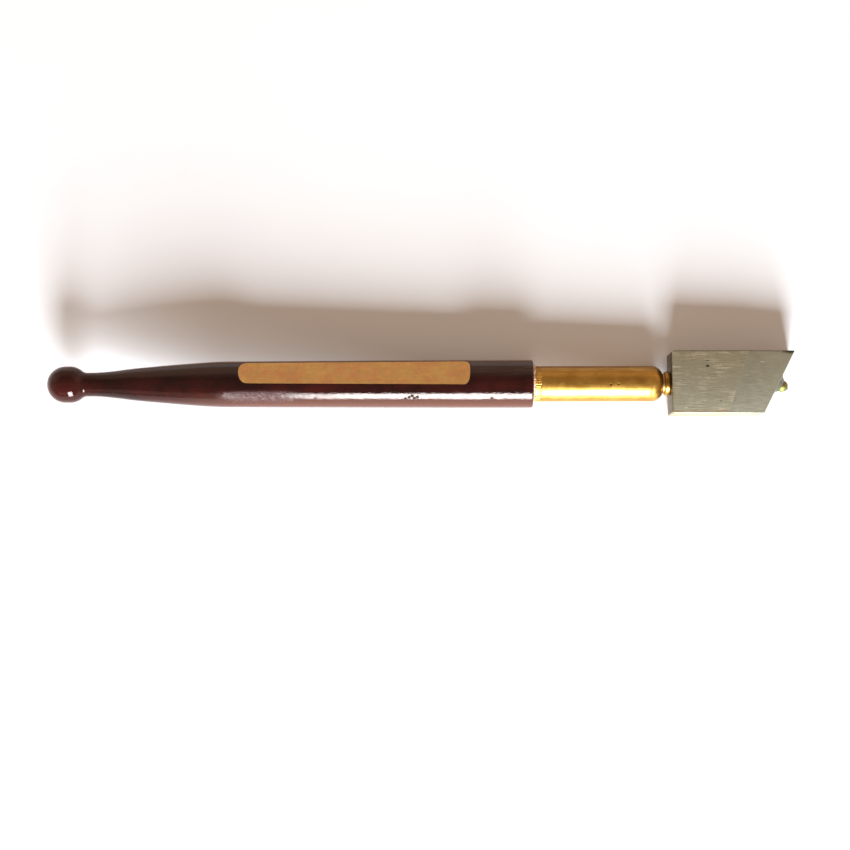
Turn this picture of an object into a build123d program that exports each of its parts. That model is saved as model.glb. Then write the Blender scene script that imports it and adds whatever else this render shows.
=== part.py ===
"""Swivel-head glazier's diamond: a lacquered wooden handle, a brass ferrule and a steel head.

The tool lies along X, with the handle's ball end at -X and the diamond at +X. Z is up. The
origin is on the tool's long axis, halfway along its length. Sizes are in millimetres.

The head turns on the long axis: a brass spindle fixed in the steel block runs in the ferrule's
nose, a spring behind the nose draws it snug, and a stop pin in a short groove limits the turn.
"""

from build123d import *

import os
from math import atan, atan2, cos, degrees, radians, sin, sqrt, tan

os.makedirs("parts", exist_ok=True)

# ---------------------------------------------------------------- driving dimensions
# Fits
press_gap = 0.01        # radial, between pieces that are pressed or glued together
running_gap = 0.03      # radial, between pieces that turn on each other
face_gap = 0.02         # axial, between faces that slide on each other

# Handle
handle_length = 116.8
ball_radius = 4.4
ball_straight = 1.1     # length of the ball's widest band
neck_radius = 2.88
neck_end = 10.6         # from the ball's end to where the handle begins to swell
neck_cove = 0.5         # round where the ball meets the neck
swell_length = 33.4     # from the neck to the shoulder
swell_shape = ((0.35, 0.42), (0.67, 0.775))  # share of the length, share of the rise
grip_taper = 0.24       # how much slimmer the shoulder is than the mouth
grip_radius = 5.76      # at the mouth
grip_cylinder = 15.0    # straight length behind the mouth
mouth_round = 0.4

# Bare flat on the handle
flat_length = 55.3
flat_from_mouth = 15.1
flat_depth = 1.05       # below the round surface, at the middle of the flat
flat_lean = 28.5        # degrees from +Z towards +Y
flat_tail_run_out = 3.0
flat_mouth_run_out = 1.5

# Ferrule
ferrule_radius = 4.25
ferrule_tail = 14.0     # length held in the handle
ferrule_exposed = 31.1  # length from the mouth to the nose face
dome_slope = 1.395      # length of the dome over its drop
nose_lip = 0.47         # width of the nose face round its bore
nose_bore_length = 7.0
main_bore_radius = 2.8
tail_chamfer = 0.3
knurl_count = 36
knurl_side = 0.17       # side of the square cutter, which leaves grooves 0.12 deep
knurl_behind_mouth = 10.0
knurl_beyond_mouth = 1.8
cement_thickness = 0.15
cement_run = 0.6        # the ring of cement at the mouth, along the ferrule
cement_rise = 0.4       # and up the mouth
bore_end_gap = 0.5
drill_half_angle = 59.0

# Ferrule plug
plug_length = 3.0
plug_slot_width = 0.8
plug_slot_depth = 1.0

# Spindle
journal_radius = 1.8
bead_radius = 2.9
bead_length = 1.5
bead_round = 0.5
body_step = 0.35        # the spindle's body under its journal
thread_step = 0.2       # and the threaded end under the body
end_beyond_nut = 0.6
tenon_radius = 2.0
tenon_length = 9.0
tenon_chamfer = 0.3

# Washers, spring and nut
nose_washer_thickness = 0.3
nose_washer_overhang = 0.1
seat_washer_thickness = 0.4
spring_length = 8.0
spring_turns = 5.75
spring_wire_radius = 0.3
spring_washer_thickness = 0.4
bore_clearance = 0.15   # radial, round the washers and the nut in the main bore
nut_thickness = 2.0

# Stop pin and its groove
swivel_half_range = 20.0
swivel_spare = 0.5      # degrees the groove allows beyond the range
stop_pin_radius = 0.6
stop_pin_from_nose = 3.7
stop_pin_reach = 0.7    # into the journal
stop_groove_gap = 0.06  # under the pin's end and on each side of it

# Head block
block_width = 15.0
block_thickness = 8.0
block_long_edge = 29.4
block_short_edge = 21.8
block_edge_round = 0.25
block_back_round = 0.55
bevel_long_edge = 18.4  # from the block's back face to the bevel, along the long edge
bevel_short_edge = 13.3
bevel_drop = 0.55       # at the middle of the end face

# Head pin
head_pin_radius = 0.8
head_pin_from_back = 4.6
head_pin_past_tenon = 0.6

# Diamond and its setting
setting_radius = 1.42
setting_depth = 4.5
setting_height = 1.4    # from the end face to the centre of its domed end
solder_inset = 0.35     # from the solder's edge to the bevelled faces
solder_height = 1.25
solder_waist = 0.45     # share of its height at the middle of its slope
stone_half_width = 0.66
stone_out = 0.25        # how far the point stands past the dome
stone_point = 0.04      # half width of the worn point

# ---------------------------------------------------------------- derived sizes and places
overall_length = (
    handle_length + ferrule_exposed + nose_washer_thickness + face_gap + bead_length + block_long_edge
)
tail_x = -overall_length / 2
mouth_x = tail_x + handle_length
nose_x = mouth_x + ferrule_exposed
bead_x = nose_x + nose_washer_thickness + face_gap
block_x = bead_x + bead_length
ferrule_tail_x = mouth_x - ferrule_tail
shoulder_x = tail_x + neck_end + swell_length
nose_shoulder_x = nose_x - nose_bore_length
spring_front_x = nose_shoulder_x - seat_washer_thickness - face_gap
spring_back_x = spring_front_x - spring_length
nut_front_x = spring_back_x - spring_washer_thickness
nut_back_x = nut_front_x - nut_thickness
stop_pin_x = nose_x - stop_pin_from_nose

shoulder_radius = grip_radius - grip_taper
handle_bore_radius = ferrule_radius + cement_thickness
handle_bore_end_x = ferrule_tail_x - bore_end_gap
nose_bore_radius = journal_radius + running_gap
nose_face_radius = nose_bore_radius + nose_lip
body_radius = journal_radius - body_step
thread_radius = body_radius - thread_step
bore_piece_radius = main_bore_radius - bore_clearance
spring_mean_radius = (main_bore_radius + body_radius) / 2

half_width = block_width / 2
half_thickness = block_thickness / 2
end_lean = atan((block_long_edge - block_short_edge) / block_width)
end_normal = Vector(cos(end_lean), -sin(end_lean), 0)
end_centre = Vector(block_x + (block_long_edge + block_short_edge) / 2, 0, 0)

tool_axis = Axis.X
diamond_axis = Axis(end_centre, end_normal)
side_plane = Plane.XZ
diamond_plane = Plane(origin=end_centre, x_dir=end_normal, z_dir=(0, 0, 1))


def cross_plane(x):
    """The plane square to the tool's axis at x, with its normal towards the head."""
    return Plane.YZ.offset(x)


def stone_square(along, half_diagonal):
    """A square, corner up, on the diamond's axis, for lofting the stone."""
    plane = Plane(origin=end_centre + end_normal * along, x_dir=(0, 0, 1), z_dir=end_normal)
    with BuildSketch(plane) as square:
        Rectangle(half_diagonal * sqrt(2), half_diagonal * sqrt(2), rotation=45)
    return square.sketch


def stone_shape(grow):
    """The eight-sided stone with its point outwards, made larger all round by grow."""
    middle = setting_height + setting_radius + stone_out - stone_half_width
    half = stone_half_width + grow
    reach = half - stone_point
    with BuildPart() as stone:
        add(stone_square(middle - reach, stone_point))
        add(stone_square(middle, half))
        add(stone_square(middle + reach, stone_point))
        loft(ruled=True)
    return stone.part


# ---------------------------------------------------------------- handle
ball_centre_x = tail_x + ball_radius
neck_angle = degrees(atan2(neck_radius, sqrt(ball_radius**2 - neck_radius**2)))
neck_x = ball_centre_x + ball_straight + ball_radius * cos(radians(neck_angle))
swell_start = (tail_x + neck_end, neck_radius)
swell_end = (shoulder_x, shoulder_radius)
swell_points = [
    (swell_start[0] + along * swell_length, neck_radius + up * (shoulder_radius - neck_radius))
    for along, up in swell_shape
]
drill_point_length = handle_bore_radius / tan(radians(drill_half_angle))

flat_height = (shoulder_radius + grip_radius) / 2 - flat_depth
flat_plane = Plane(
    origin=(0, 0, 0),
    x_dir=(1, 0, 0),
    z_dir=(0, -cos(radians(flat_lean)), sin(radians(flat_lean))),
)
flat_mouth_x = mouth_x - flat_from_mouth
flat_tail_x = flat_mouth_x - flat_length
mouth_arc_reach = sqrt(flat_mouth_run_out**2 - (flat_mouth_run_out - flat_depth) ** 2)
tail_arc_reach = sqrt(flat_tail_run_out**2 - (flat_tail_run_out - flat_depth) ** 2)
mouth_arc_x = flat_mouth_x - mouth_arc_reach
tail_arc_x = flat_tail_x + tail_arc_reach
cutter_top = flat_height + flat_tail_run_out + flat_mouth_run_out

with BuildPart() as handle:
    with BuildSketch(side_plane) as handle_profile:
        with BuildLine():
            CenterArc((ball_centre_x, 0), ball_radius, 180, -90)
            Line((ball_centre_x, ball_radius), (ball_centre_x + ball_straight, ball_radius))
            CenterArc((ball_centre_x + ball_straight, 0), ball_radius, 90, neck_angle - 90)
            Line((neck_x, neck_radius), swell_start)
            Spline(swell_start, *swell_points, swell_end, tangents=[(1, 0), (1, 0)])
            Polyline(
                swell_end,
                (mouth_x - grip_cylinder, grip_radius),
                (mouth_x, grip_radius),
                (mouth_x, handle_bore_radius),
                (handle_bore_end_x, handle_bore_radius),
                (handle_bore_end_x - drill_point_length, 0),
                (tail_x, 0),
            )
        make_face()
        cove_corner = handle_profile.vertices().sort_by_distance((neck_x, neck_radius))[0]
        fillet(cove_corner, neck_cove)
        mouth_corner = handle_profile.vertices().sort_by_distance((mouth_x, grip_radius))[0]
        fillet(mouth_corner, min(mouth_round, 0.45 * (grip_radius - handle_bore_radius)))
    revolve(axis=tool_axis)
    with BuildSketch(flat_plane):
        with BuildLine():
            Polyline(
                (tail_arc_x - flat_tail_run_out, flat_height + flat_tail_run_out),
                (tail_arc_x - flat_tail_run_out, cutter_top),
                (mouth_arc_x + flat_mouth_run_out, cutter_top),
                (mouth_arc_x + flat_mouth_run_out, flat_height + flat_mouth_run_out),
            )
            CenterArc(
                (mouth_arc_x, flat_height + flat_mouth_run_out),
                flat_mouth_run_out,
                0,
                -90,
            )
            Line((mouth_arc_x, flat_height), (tail_arc_x, flat_height))
            CenterArc(
                (tail_arc_x, flat_height + flat_tail_run_out),
                flat_tail_run_out,
                270,
                -90,
            )
        make_face()
    extrude(amount=2 * grip_radius, both=True, mode=Mode.SUBTRACT)

# ---------------------------------------------------------------- cement in the handle
with BuildPart() as handle_cement:
    with BuildSketch(side_plane):
        with BuildLine():
            Polyline(
                (mouth_x + cement_run, ferrule_radius + press_gap),
                (ferrule_tail_x, ferrule_radius + press_gap),
                (ferrule_tail_x, handle_bore_radius - press_gap),
                (mouth_x, handle_bore_radius - press_gap),
                (mouth_x, handle_bore_radius + cement_rise),
            )
            ThreePointArc(
                (mouth_x, handle_bore_radius + cement_rise),
                (mouth_x + 0.35 * cement_run, ferrule_radius + 0.55 * cement_rise),
                (mouth_x + cement_run, ferrule_radius + press_gap),
            )
        make_face()
    revolve(axis=tool_axis)

# ---------------------------------------------------------------- ferrule
dome_x = nose_x - dome_slope * (ferrule_radius - nose_face_radius)

with BuildPart() as ferrule:
    with BuildSketch(side_plane):
        with BuildLine():
            Polyline(
                (nose_x, nose_face_radius),
                (nose_x, nose_bore_radius),
                (nose_shoulder_x, nose_bore_radius),
                (nose_shoulder_x, main_bore_radius),
                (ferrule_tail_x, main_bore_radius),
                (ferrule_tail_x, ferrule_radius - tail_chamfer),
                (ferrule_tail_x + tail_chamfer, ferrule_radius),
                (dome_x, ferrule_radius),
            )
            TangentArc((dome_x, ferrule_radius), (nose_x, nose_face_radius), tangent=(1, 0))
        make_face()
    revolve(axis=tool_axis)
    with BuildSketch(cross_plane(mouth_x - knurl_behind_mouth)):
        with PolarLocations(ferrule_radius, knurl_count):
            Rectangle(knurl_side, knurl_side, rotation=45)
    extrude(amount=knurl_behind_mouth + knurl_beyond_mouth, mode=Mode.SUBTRACT)
    with BuildSketch(Plane.XY.offset(-2 * ferrule_radius)):
        with Locations((stop_pin_x, 0)):
            Circle(stop_pin_radius + press_gap)
    extrude(amount=2 * ferrule_radius, mode=Mode.SUBTRACT)

# ---------------------------------------------------------------- ferrule plug
with BuildPart() as ferrule_plug:
    with BuildSketch(cross_plane(ferrule_tail_x)):
        Circle(main_bore_radius - press_gap)
    extrude(amount=plug_length)
    with BuildSketch(cross_plane(ferrule_tail_x)):
        Rectangle(2 * main_bore_radius, plug_slot_width)
    extrude(amount=plug_slot_depth, mode=Mode.SUBTRACT)

# ---------------------------------------------------------------- stop pin
stop_pin_tip = journal_radius - stop_pin_reach

with BuildPart() as stop_pin:
    with BuildSketch(Plane.XY.offset(-2 * ferrule_radius)):
        with Locations((stop_pin_x, 0)):
            Circle(stop_pin_radius)
    extrude(amount=2 * ferrule_radius - stop_pin_tip)
    with BuildSketch(cross_plane(stop_pin_x - 2 * stop_pin_radius)):
        Circle(ferrule_radius)
    extrude(amount=4 * stop_pin_radius, mode=Mode.INTERSECT)

# ---------------------------------------------------------------- spindle
groove_floor = stop_pin_tip - stop_groove_gap
groove_half_length = stop_pin_radius + stop_groove_gap
groove_half_angle = (
    swivel_half_range + swivel_spare + degrees(atan2(groove_half_length, stop_pin_tip))
)
wedge_height = 2 * journal_radius
wedge_half_width = wedge_height * tan(radians(groove_half_angle))

with BuildPart() as spindle:
    with BuildSketch(side_plane) as spindle_profile:
        with BuildLine():
            Polyline(
                (nut_back_x - end_beyond_nut, 0),
                (nut_back_x - end_beyond_nut, thread_radius),
                (nut_front_x, thread_radius),
                (nut_front_x, body_radius),
                (nose_shoulder_x - seat_washer_thickness, body_radius),
                (nose_shoulder_x - seat_washer_thickness, journal_radius),
                (bead_x, journal_radius),
                (bead_x, bead_radius),
                (block_x, bead_radius),
                (block_x, tenon_radius),
                (block_x + tenon_length - tenon_chamfer, tenon_radius),
                (block_x + tenon_length, tenon_radius - tenon_chamfer),
                (block_x + tenon_length, 0),
                close=True,
            )
        make_face()
        bead_back = spindle_profile.vertices().sort_by_distance((bead_x, bead_radius))[0]
        bead_front = spindle_profile.vertices().sort_by_distance((block_x, bead_radius))[0]
        fillet([bead_back, bead_front], min(bead_round, 0.45 * bead_length))
    revolve(axis=tool_axis)
    with BuildSketch(cross_plane(stop_pin_x - groove_half_length)):
        Circle(2 * journal_radius)
        Circle(groove_floor, mode=Mode.SUBTRACT)
        with BuildLine():
            Polyline(
                (0, 0),
                (-wedge_half_width, -wedge_height),
                (wedge_half_width, -wedge_height),
                close=True,
            )
        make_face(mode=Mode.INTERSECT)
    extrude(amount=2 * groove_half_length, mode=Mode.SUBTRACT)
    with BuildSketch(Plane.XZ.offset(half_width)):
        with Locations((block_x + head_pin_from_back, 0)):
            Circle(head_pin_radius + press_gap)
    extrude(amount=-2 * half_width, mode=Mode.SUBTRACT)

# ---------------------------------------------------------------- washers, spring and nut
with BuildPart() as nose_washer:
    with BuildSketch(cross_plane(nose_x)):
        Circle(nose_face_radius + nose_washer_overhang)
        Circle(nose_bore_radius, mode=Mode.SUBTRACT)
    extrude(amount=nose_washer_thickness)

with BuildPart() as spring_seat_washer:
    with BuildSketch(cross_plane(nose_shoulder_x)):
        Circle(bore_piece_radius)
        Circle(nose_bore_radius, mode=Mode.SUBTRACT)
    extrude(amount=-seat_washer_thickness)

with BuildPart() as swivel_spring:
    with BuildLine() as coil:
        Helix(
            pitch=spring_length / spring_turns,
            height=spring_length,
            radius=spring_mean_radius,
            center=(spring_back_x, 0, 0),
            direction=(1, 0, 0),
        )
    with BuildSketch(Plane(origin=coil.line @ 0, z_dir=coil.line % 0)):
        Circle(spring_wire_radius)
    sweep(is_frenet=True)
    with BuildSketch(cross_plane(spring_back_x)):
        Circle(main_bore_radius)
    extrude(amount=spring_length, mode=Mode.INTERSECT)

with BuildPart() as spring_washer:
    with BuildSketch(cross_plane(nut_front_x)):
        Circle(bore_piece_radius)
        Circle(body_radius + running_gap, mode=Mode.SUBTRACT)
    extrude(amount=spring_washer_thickness)

with BuildPart() as retaining_nut:
    with BuildSketch(cross_plane(nut_back_x)):
        RegularPolygon(bore_piece_radius, 6)
        Circle(thread_radius + press_gap, mode=Mode.SUBTRACT)
    extrude(amount=nut_thickness)

# ---------------------------------------------------------------- head block
bevel_middle = (bevel_long_edge + bevel_short_edge) / 2
bevel_skew = atan((bevel_long_edge - bevel_short_edge) / block_width)
bevel_run = (end_centre.X - block_x - bevel_middle) * cos(bevel_skew)
bevel_tilt = atan(bevel_drop / bevel_run)
bevel_planes = [
    Plane(
        origin=(block_x + bevel_middle, 0, side * half_thickness),
        z_dir=(
            sin(bevel_tilt) * cos(bevel_skew),
            -sin(bevel_tilt) * sin(bevel_skew),
            side * cos(bevel_tilt),
        ),
    )
    for side in (1, -1)
]
tenon_bore_radius = tenon_radius + press_gap
tenon_bore_end_x = block_x + tenon_length + press_gap
head_pin_end_y = tenon_radius + head_pin_past_tenon

with BuildPart() as head_block:
    with BuildSketch(Plane.XY):
        with BuildLine():
            Polyline(
                (block_x, -half_width),
                (block_x + block_short_edge, -half_width),
                (block_x + block_long_edge, half_width),
                (block_x, half_width),
                close=True,
            )
        make_face()
    extrude(amount=half_thickness, both=True)
    for bevel_plane in bevel_planes:
        split(bisect_by=bevel_plane, keep=Keep.BOTTOM)
    back_corners = head_block.edges().filter_by(Axis.Z).group_by(Axis.X)[0]
    fillet(back_corners, block_back_round)
    side_faces = head_block.faces().filter_by(lambda face: abs(face.normal_at().Z) < 0.01)
    rim_edges = side_faces.edges().filter_by(lambda edge: abs((edge % 0.5).Z) < 0.2)
    fillet(rim_edges, block_edge_round)
    with BuildSketch(side_plane):
        with BuildLine():
            Polyline(
                (block_x, 0),
                (block_x, tenon_bore_radius),
                (tenon_bore_end_x, tenon_bore_radius),
                (tenon_bore_end_x + tenon_bore_radius / tan(radians(drill_half_angle)), 0),
                close=True,
            )
        make_face()
    revolve(axis=tool_axis, mode=Mode.SUBTRACT)
    with BuildSketch(Plane.XZ.offset(half_width)):
        with Locations((block_x + head_pin_from_back, 0)):
            Circle(head_pin_radius + press_gap)
    extrude(amount=-(half_width + head_pin_end_y), mode=Mode.SUBTRACT)
    with BuildSketch(Plane(origin=end_centre, z_dir=end_normal)):
        Circle(setting_radius + press_gap)
    extrude(amount=-setting_depth, mode=Mode.SUBTRACT)

# ---------------------------------------------------------------- head pin
with BuildPart() as head_pin:
    with BuildSketch(Plane.XZ.offset(half_width)):
        with Locations((block_x + head_pin_from_back, 0)):
            Circle(head_pin_radius)
    extrude(amount=-(half_width + head_pin_end_y))

# ---------------------------------------------------------------- diamond and its setting
stone_pocket = stone_shape(press_gap)
stone = stone_shape(0)
solder_radius = half_thickness - bevel_drop - solder_inset

with BuildPart() as diamond_setting:
    with BuildSketch(diamond_plane):
        with BuildLine():
            Polyline(
                (setting_height + setting_radius, 0),
                (-setting_depth, 0),
                (-setting_depth, setting_radius),
                (setting_height, setting_radius),
            )
            CenterArc((setting_height, 0), setting_radius, 0, 90)
        make_face()
    revolve(axis=diamond_axis)
    add(stone_pocket, mode=Mode.SUBTRACT)

with BuildPart() as setting_solder:
    with BuildSketch(diamond_plane):
        with BuildLine():
            Polyline(
                (solder_height, setting_radius + press_gap),
                (0, setting_radius + press_gap),
                (0, solder_radius),
            )
            ThreePointArc(
                (0, solder_radius),
                (solder_waist * solder_height, (solder_radius + setting_radius) / 2),
                (solder_height, setting_radius + press_gap),
            )
        make_face()
    revolve(axis=diamond_axis)

with BuildPart() as diamond:
    add(stone)

# ---------------------------------------------------------------- labels and files
handle.part.label = "handle"
handle_cement.part.label = "handle_cement"
ferrule.part.label = "ferrule"
ferrule_plug.part.label = "ferrule_plug"
stop_pin.part.label = "stop_pin"
nose_washer.part.label = "nose_washer"
spring_seat_washer.part.label = "spring_seat_washer"
spindle.part.label = "spindle"
swivel_spring.part.label = "swivel_spring"
spring_washer.part.label = "spring_washer"
retaining_nut.part.label = "retaining_nut"
head_block.part.label = "head_block"
head_pin.part.label = "head_pin"
diamond_setting.part.label = "diamond_setting"
setting_solder.part.label = "setting_solder"
diamond.part.label = "diamond"

export_step(handle.part, "parts/handle.step")
export_step(handle_cement.part, "parts/handle_cement.step")
export_step(ferrule.part, "parts/ferrule.step")
export_step(ferrule_plug.part, "parts/ferrule_plug.step")
export_step(stop_pin.part, "parts/stop_pin.step")
export_step(nose_washer.part, "parts/nose_washer.step")
export_step(spring_seat_washer.part, "parts/spring_seat_washer.step")
export_step(spindle.part, "parts/spindle.step")
export_step(swivel_spring.part, "parts/swivel_spring.step")
export_step(spring_washer.part, "parts/spring_washer.step")
export_step(retaining_nut.part, "parts/retaining_nut.step")
export_step(head_block.part, "parts/head_block.step")
export_step(head_pin.part, "parts/head_pin.step")
export_step(diamond_setting.part, "parts/diamond_setting.step")
export_step(setting_solder.part, "parts/setting_solder.step")
export_step(diamond.part, "parts/diamond.step")
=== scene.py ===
"""Looks of a glazier's diamond: pieces, finishes, studio light and camera.

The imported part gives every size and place. Lengths in the classes are in millimetres, as a maker
would give them, and every mesh is made in metres in the part's own frame: +X along the tool
towards the diamond, +Z square to the head block's large faces.
"""

from __future__ import annotations

import logging
import math
from collections.abc import Callable, Sequence
from dataclasses import dataclass, field
from enum import Enum

import bmesh
import bpy
from mathutils import Euler, Matrix, Vector, noise


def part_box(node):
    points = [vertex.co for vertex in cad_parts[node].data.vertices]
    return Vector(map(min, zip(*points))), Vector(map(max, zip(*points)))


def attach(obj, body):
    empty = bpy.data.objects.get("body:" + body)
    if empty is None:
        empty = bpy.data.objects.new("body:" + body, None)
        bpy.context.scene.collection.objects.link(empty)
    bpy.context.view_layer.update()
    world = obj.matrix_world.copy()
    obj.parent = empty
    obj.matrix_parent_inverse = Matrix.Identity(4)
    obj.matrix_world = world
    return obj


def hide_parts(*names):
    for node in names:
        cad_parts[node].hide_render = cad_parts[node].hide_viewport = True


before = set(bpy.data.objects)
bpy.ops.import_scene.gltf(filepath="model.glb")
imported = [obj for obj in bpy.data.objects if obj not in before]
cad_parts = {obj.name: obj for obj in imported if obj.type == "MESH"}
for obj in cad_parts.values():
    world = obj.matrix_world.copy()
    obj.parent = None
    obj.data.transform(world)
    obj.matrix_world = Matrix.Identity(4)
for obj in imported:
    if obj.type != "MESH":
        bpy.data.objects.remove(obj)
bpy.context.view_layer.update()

LOG = logging.getLogger("glaziers_diamond")
MM = 0.001

Profile = list[tuple[float, float]]
Colour = tuple[float, float, float]
Socket = bpy.types.NodeSocket


class Body(Enum):
    """The rigid bodies of the tool."""

    HANDLE = "handle"
    HEAD = "head"


# ------------------------------------------------------------------------------ node trees


class Graph:
    """A short way to fill a node tree."""

    def __init__(self, tree: bpy.types.NodeTree) -> None:
        """Starts on a tree.

        Args:
            tree: The shader or geometry node tree to fill.
        """
        self.tree = tree

    def add(self, kind: str, inputs: dict | None = None, **settings: object) -> bpy.types.Node:
        """Adds one node.

        Args:
            kind: The node's type name.
            inputs: Socket name or number to a value, or to another node's output.
            settings: The node's own properties.

        Returns:
            The new node.
        """
        node = self.tree.nodes.new(kind)
        for name, value in settings.items():
            setattr(node, name, value)
        for key, value in (inputs or {}).items():
            if isinstance(value, Socket):
                self.tree.links.new(value, node.inputs[key])
            else:
                node.inputs[key].default_value = value
        return node

    def math(self, operation: str, *values: float | Socket, clamp: bool = False) -> Socket:
        """One step of arithmetic.

        Args:
            operation: The Math node's operation.
            values: Its operands.
            clamp: Whether the result is held between 0 and 1.

        Returns:
            The result.
        """
        node = self.add("ShaderNodeMath", dict(enumerate(values)), operation=operation, use_clamp=clamp)
        return node.outputs[0]

    def times(self, first: float | Socket, second: float | Socket, clamp: bool = False) -> Socket:
        """The product of two values."""
        return self.math("MULTIPLY", first, second, clamp=clamp)

    def plus(self, first: float | Socket, second: float | Socket, clamp: bool = False) -> Socket:
        """The sum of two values."""
        return self.math("ADD", first, second, clamp=clamp)

    def minus(self, first: float | Socket, second: float | Socket) -> Socket:
        """The first value less the second."""
        return self.math("SUBTRACT", first, second)

    def over(self, first: float | Socket, second: float | Socket) -> Socket:
        """The first value divided by the second."""
        return self.math("DIVIDE", first, second)

    def split(self, vector: Socket) -> bpy.types.NodeOutputs:
        """The X, Y and Z of a vector."""
        return self.add("ShaderNodeSeparateXYZ", {0: vector}).outputs

    def turned(self, vector: Socket, degrees: float) -> Socket:
        """A place turned about the origin, seen from above."""
        turn = (0.0, 0.0, math.radians(degrees))
        return self.add("ShaderNodeMapping", {"Vector": vector, "Rotation": turn}).outputs[0]

    def mix(self, factor: float | Socket, first: Colour | Socket, second: Colour | Socket) -> Socket:
        """Blends two colours.

        Args:
            factor: 0 for the first colour, 1 for the second.
            first: The first colour.
            second: The second colour.

        Returns:
            The blended colour.
        """
        colours = [c if isinstance(c, Socket) else (*c, 1.0) for c in (first, second)]
        node = self.add("ShaderNodeMix", {0: factor, 6: colours[0], 7: colours[1]}, data_type="RGBA")
        return node.outputs[2]

    def span(
        self,
        value: Socket,
        low: float | Socket,
        high: float | Socket,
        to_low: float | Socket = 0.0,
        to_high: float | Socket = 1.0,
    ) -> Socket:
        """Maps a value smoothly from one range to another, and holds it there.

        Args:
            value: The value.
            low: Where it starts to change.
            high: Where it stops.
            to_low: The result at low.
            to_high: The result at high.

        Returns:
            The mapped value.
        """
        inputs = {"Value": value, "From Min": low, "From Max": high, "To Min": to_low, "To Max": to_high}
        return self.add("ShaderNodeMapRange", inputs, interpolation_type="SMOOTHSTEP").outputs["Result"]

    def vector(self, operation: str, *values: Colour | Socket) -> bpy.types.Node:
        """One step of vector arithmetic."""
        return self.add("ShaderNodeVectorMath", dict(enumerate(values)), operation=operation)

    def scale(self, vector: Socket, factor: float | Socket) -> Socket:
        """A vector made longer by a factor."""
        return self.add("ShaderNodeVectorMath", {0: vector, "Scale": factor}, operation="SCALE").outputs[0]

    def noise(self, vector: Socket, scale: float | Socket, detail: float, rough: float = 0.5) -> Socket:
        """Cloudy noise.

        Args:
            vector: Where it is read.
            scale: Its frequency.
            detail: How many finer layers it has.
            rough: How strong the finer layers are.

        Returns:
            The noise, about 0.5 on average.
        """
        inputs = {"Vector": vector, "Scale": scale, "Detail": detail, "Roughness": rough}
        return self.add("ShaderNodeTexNoise", inputs).outputs["Fac"]


class Effect:
    """A shader node group that several finishes share, built once."""

    name = "effect"
    inputs: dict[str, object] = {}
    output = ("Mask", "NodeSocketFloat")

    @classmethod
    def tree(cls) -> bpy.types.NodeTree:
        """The group's tree, made at its first use.

        Returns:
            The tree.
        """
        tree = bpy.data.node_groups.get(cls.name)
        if tree is not None:
            return tree
        tree = bpy.data.node_groups.new(cls.name, "ShaderNodeTree")
        for name, value in cls.inputs.items():
            kind = "NodeSocketFloat"
            if isinstance(value, tuple):
                kind = "NodeSocketColor" if len(value) == 4 else "NodeSocketVector"
            item = tree.interface.new_socket(name=name, in_out="INPUT", socket_type=kind)
            item.default_value = value
        tree.interface.new_socket(name=cls.output[0], in_out="OUTPUT", socket_type=cls.output[1])
        graph = Graph(tree)
        entry = graph.add("NodeGroupInput")
        result = cls.fill(graph, entry.outputs)
        graph.add("NodeGroupOutput", {0: result})
        return tree

    @classmethod
    def fill(cls, graph: Graph, given: bpy.types.NodeOutputs) -> Socket:
        """Makes the group's nodes.

        Args:
            graph: The group's graph.
            given: The group's inputs.

        Returns:
            The group's result.
        """
        raise NotImplementedError

    @classmethod
    def place(cls, graph: Graph, **inputs: object) -> Socket:
        """Puts the group in a material.

        Args:
            graph: The material's graph.
            inputs: Values of the group's inputs, with _ for a space in a name.

        Returns:
            The group's result.
        """
        given = {name.replace("_", " "): value for name, value in inputs.items()}
        node = graph.tree.nodes.new("ShaderNodeGroup")
        node.node_tree = cls.tree()
        for name, value in given.items():
            if isinstance(value, Socket):
                graph.tree.links.new(value, node.inputs[name])
            elif node.inputs[name].type == "RGBA":
                node.inputs[name].default_value = (*value, 1.0)
            else:
                node.inputs[name].default_value = value
        return node.outputs[0]


class DrawnLines(Effect):
    """Fine uneven lines along the tool: wood grain, grinding lines, drawing marks."""

    name = "drawn_lines"
    inputs = {
        "Vector": (0.0, 0.0, 0.0),
        "Length": 8.0,
        "Width": 0.25,
        "Contrast": 1.0,
        "Waver": 0.1,
    }
    output = ("Lines", "NodeSocketFloat")

    @classmethod
    def fill(cls, graph: Graph, given: bpy.types.NodeOutputs) -> Socket:
        """Noise drawn out along X, with a slow waver across.

        Args:
            graph: The group's graph.
            given: The group's inputs.

        Returns:
            The lines, about 0.5 on average.
        """
        drift = graph.noise(graph.scale(given["Vector"], 0.12), 1.0, 1.0)
        drift = graph.times(graph.minus(drift, 0.5), given["Waver"])
        split = graph.split(given["Vector"])
        x = graph.over(split["X"], given["Length"])
        y = graph.over(graph.plus(split["Y"], drift), given["Width"])
        z = graph.over(graph.plus(split["Z"], drift), given["Width"])
        where = graph.add("ShaderNodeCombineXYZ", {0: x, 1: y, 2: z}).outputs[0]
        lines = graph.minus(graph.noise(where, 1.0, 3.0, 0.62), 0.5)
        return graph.plus(graph.times(lines, given["Contrast"]), 0.5, clamp=True)


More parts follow.
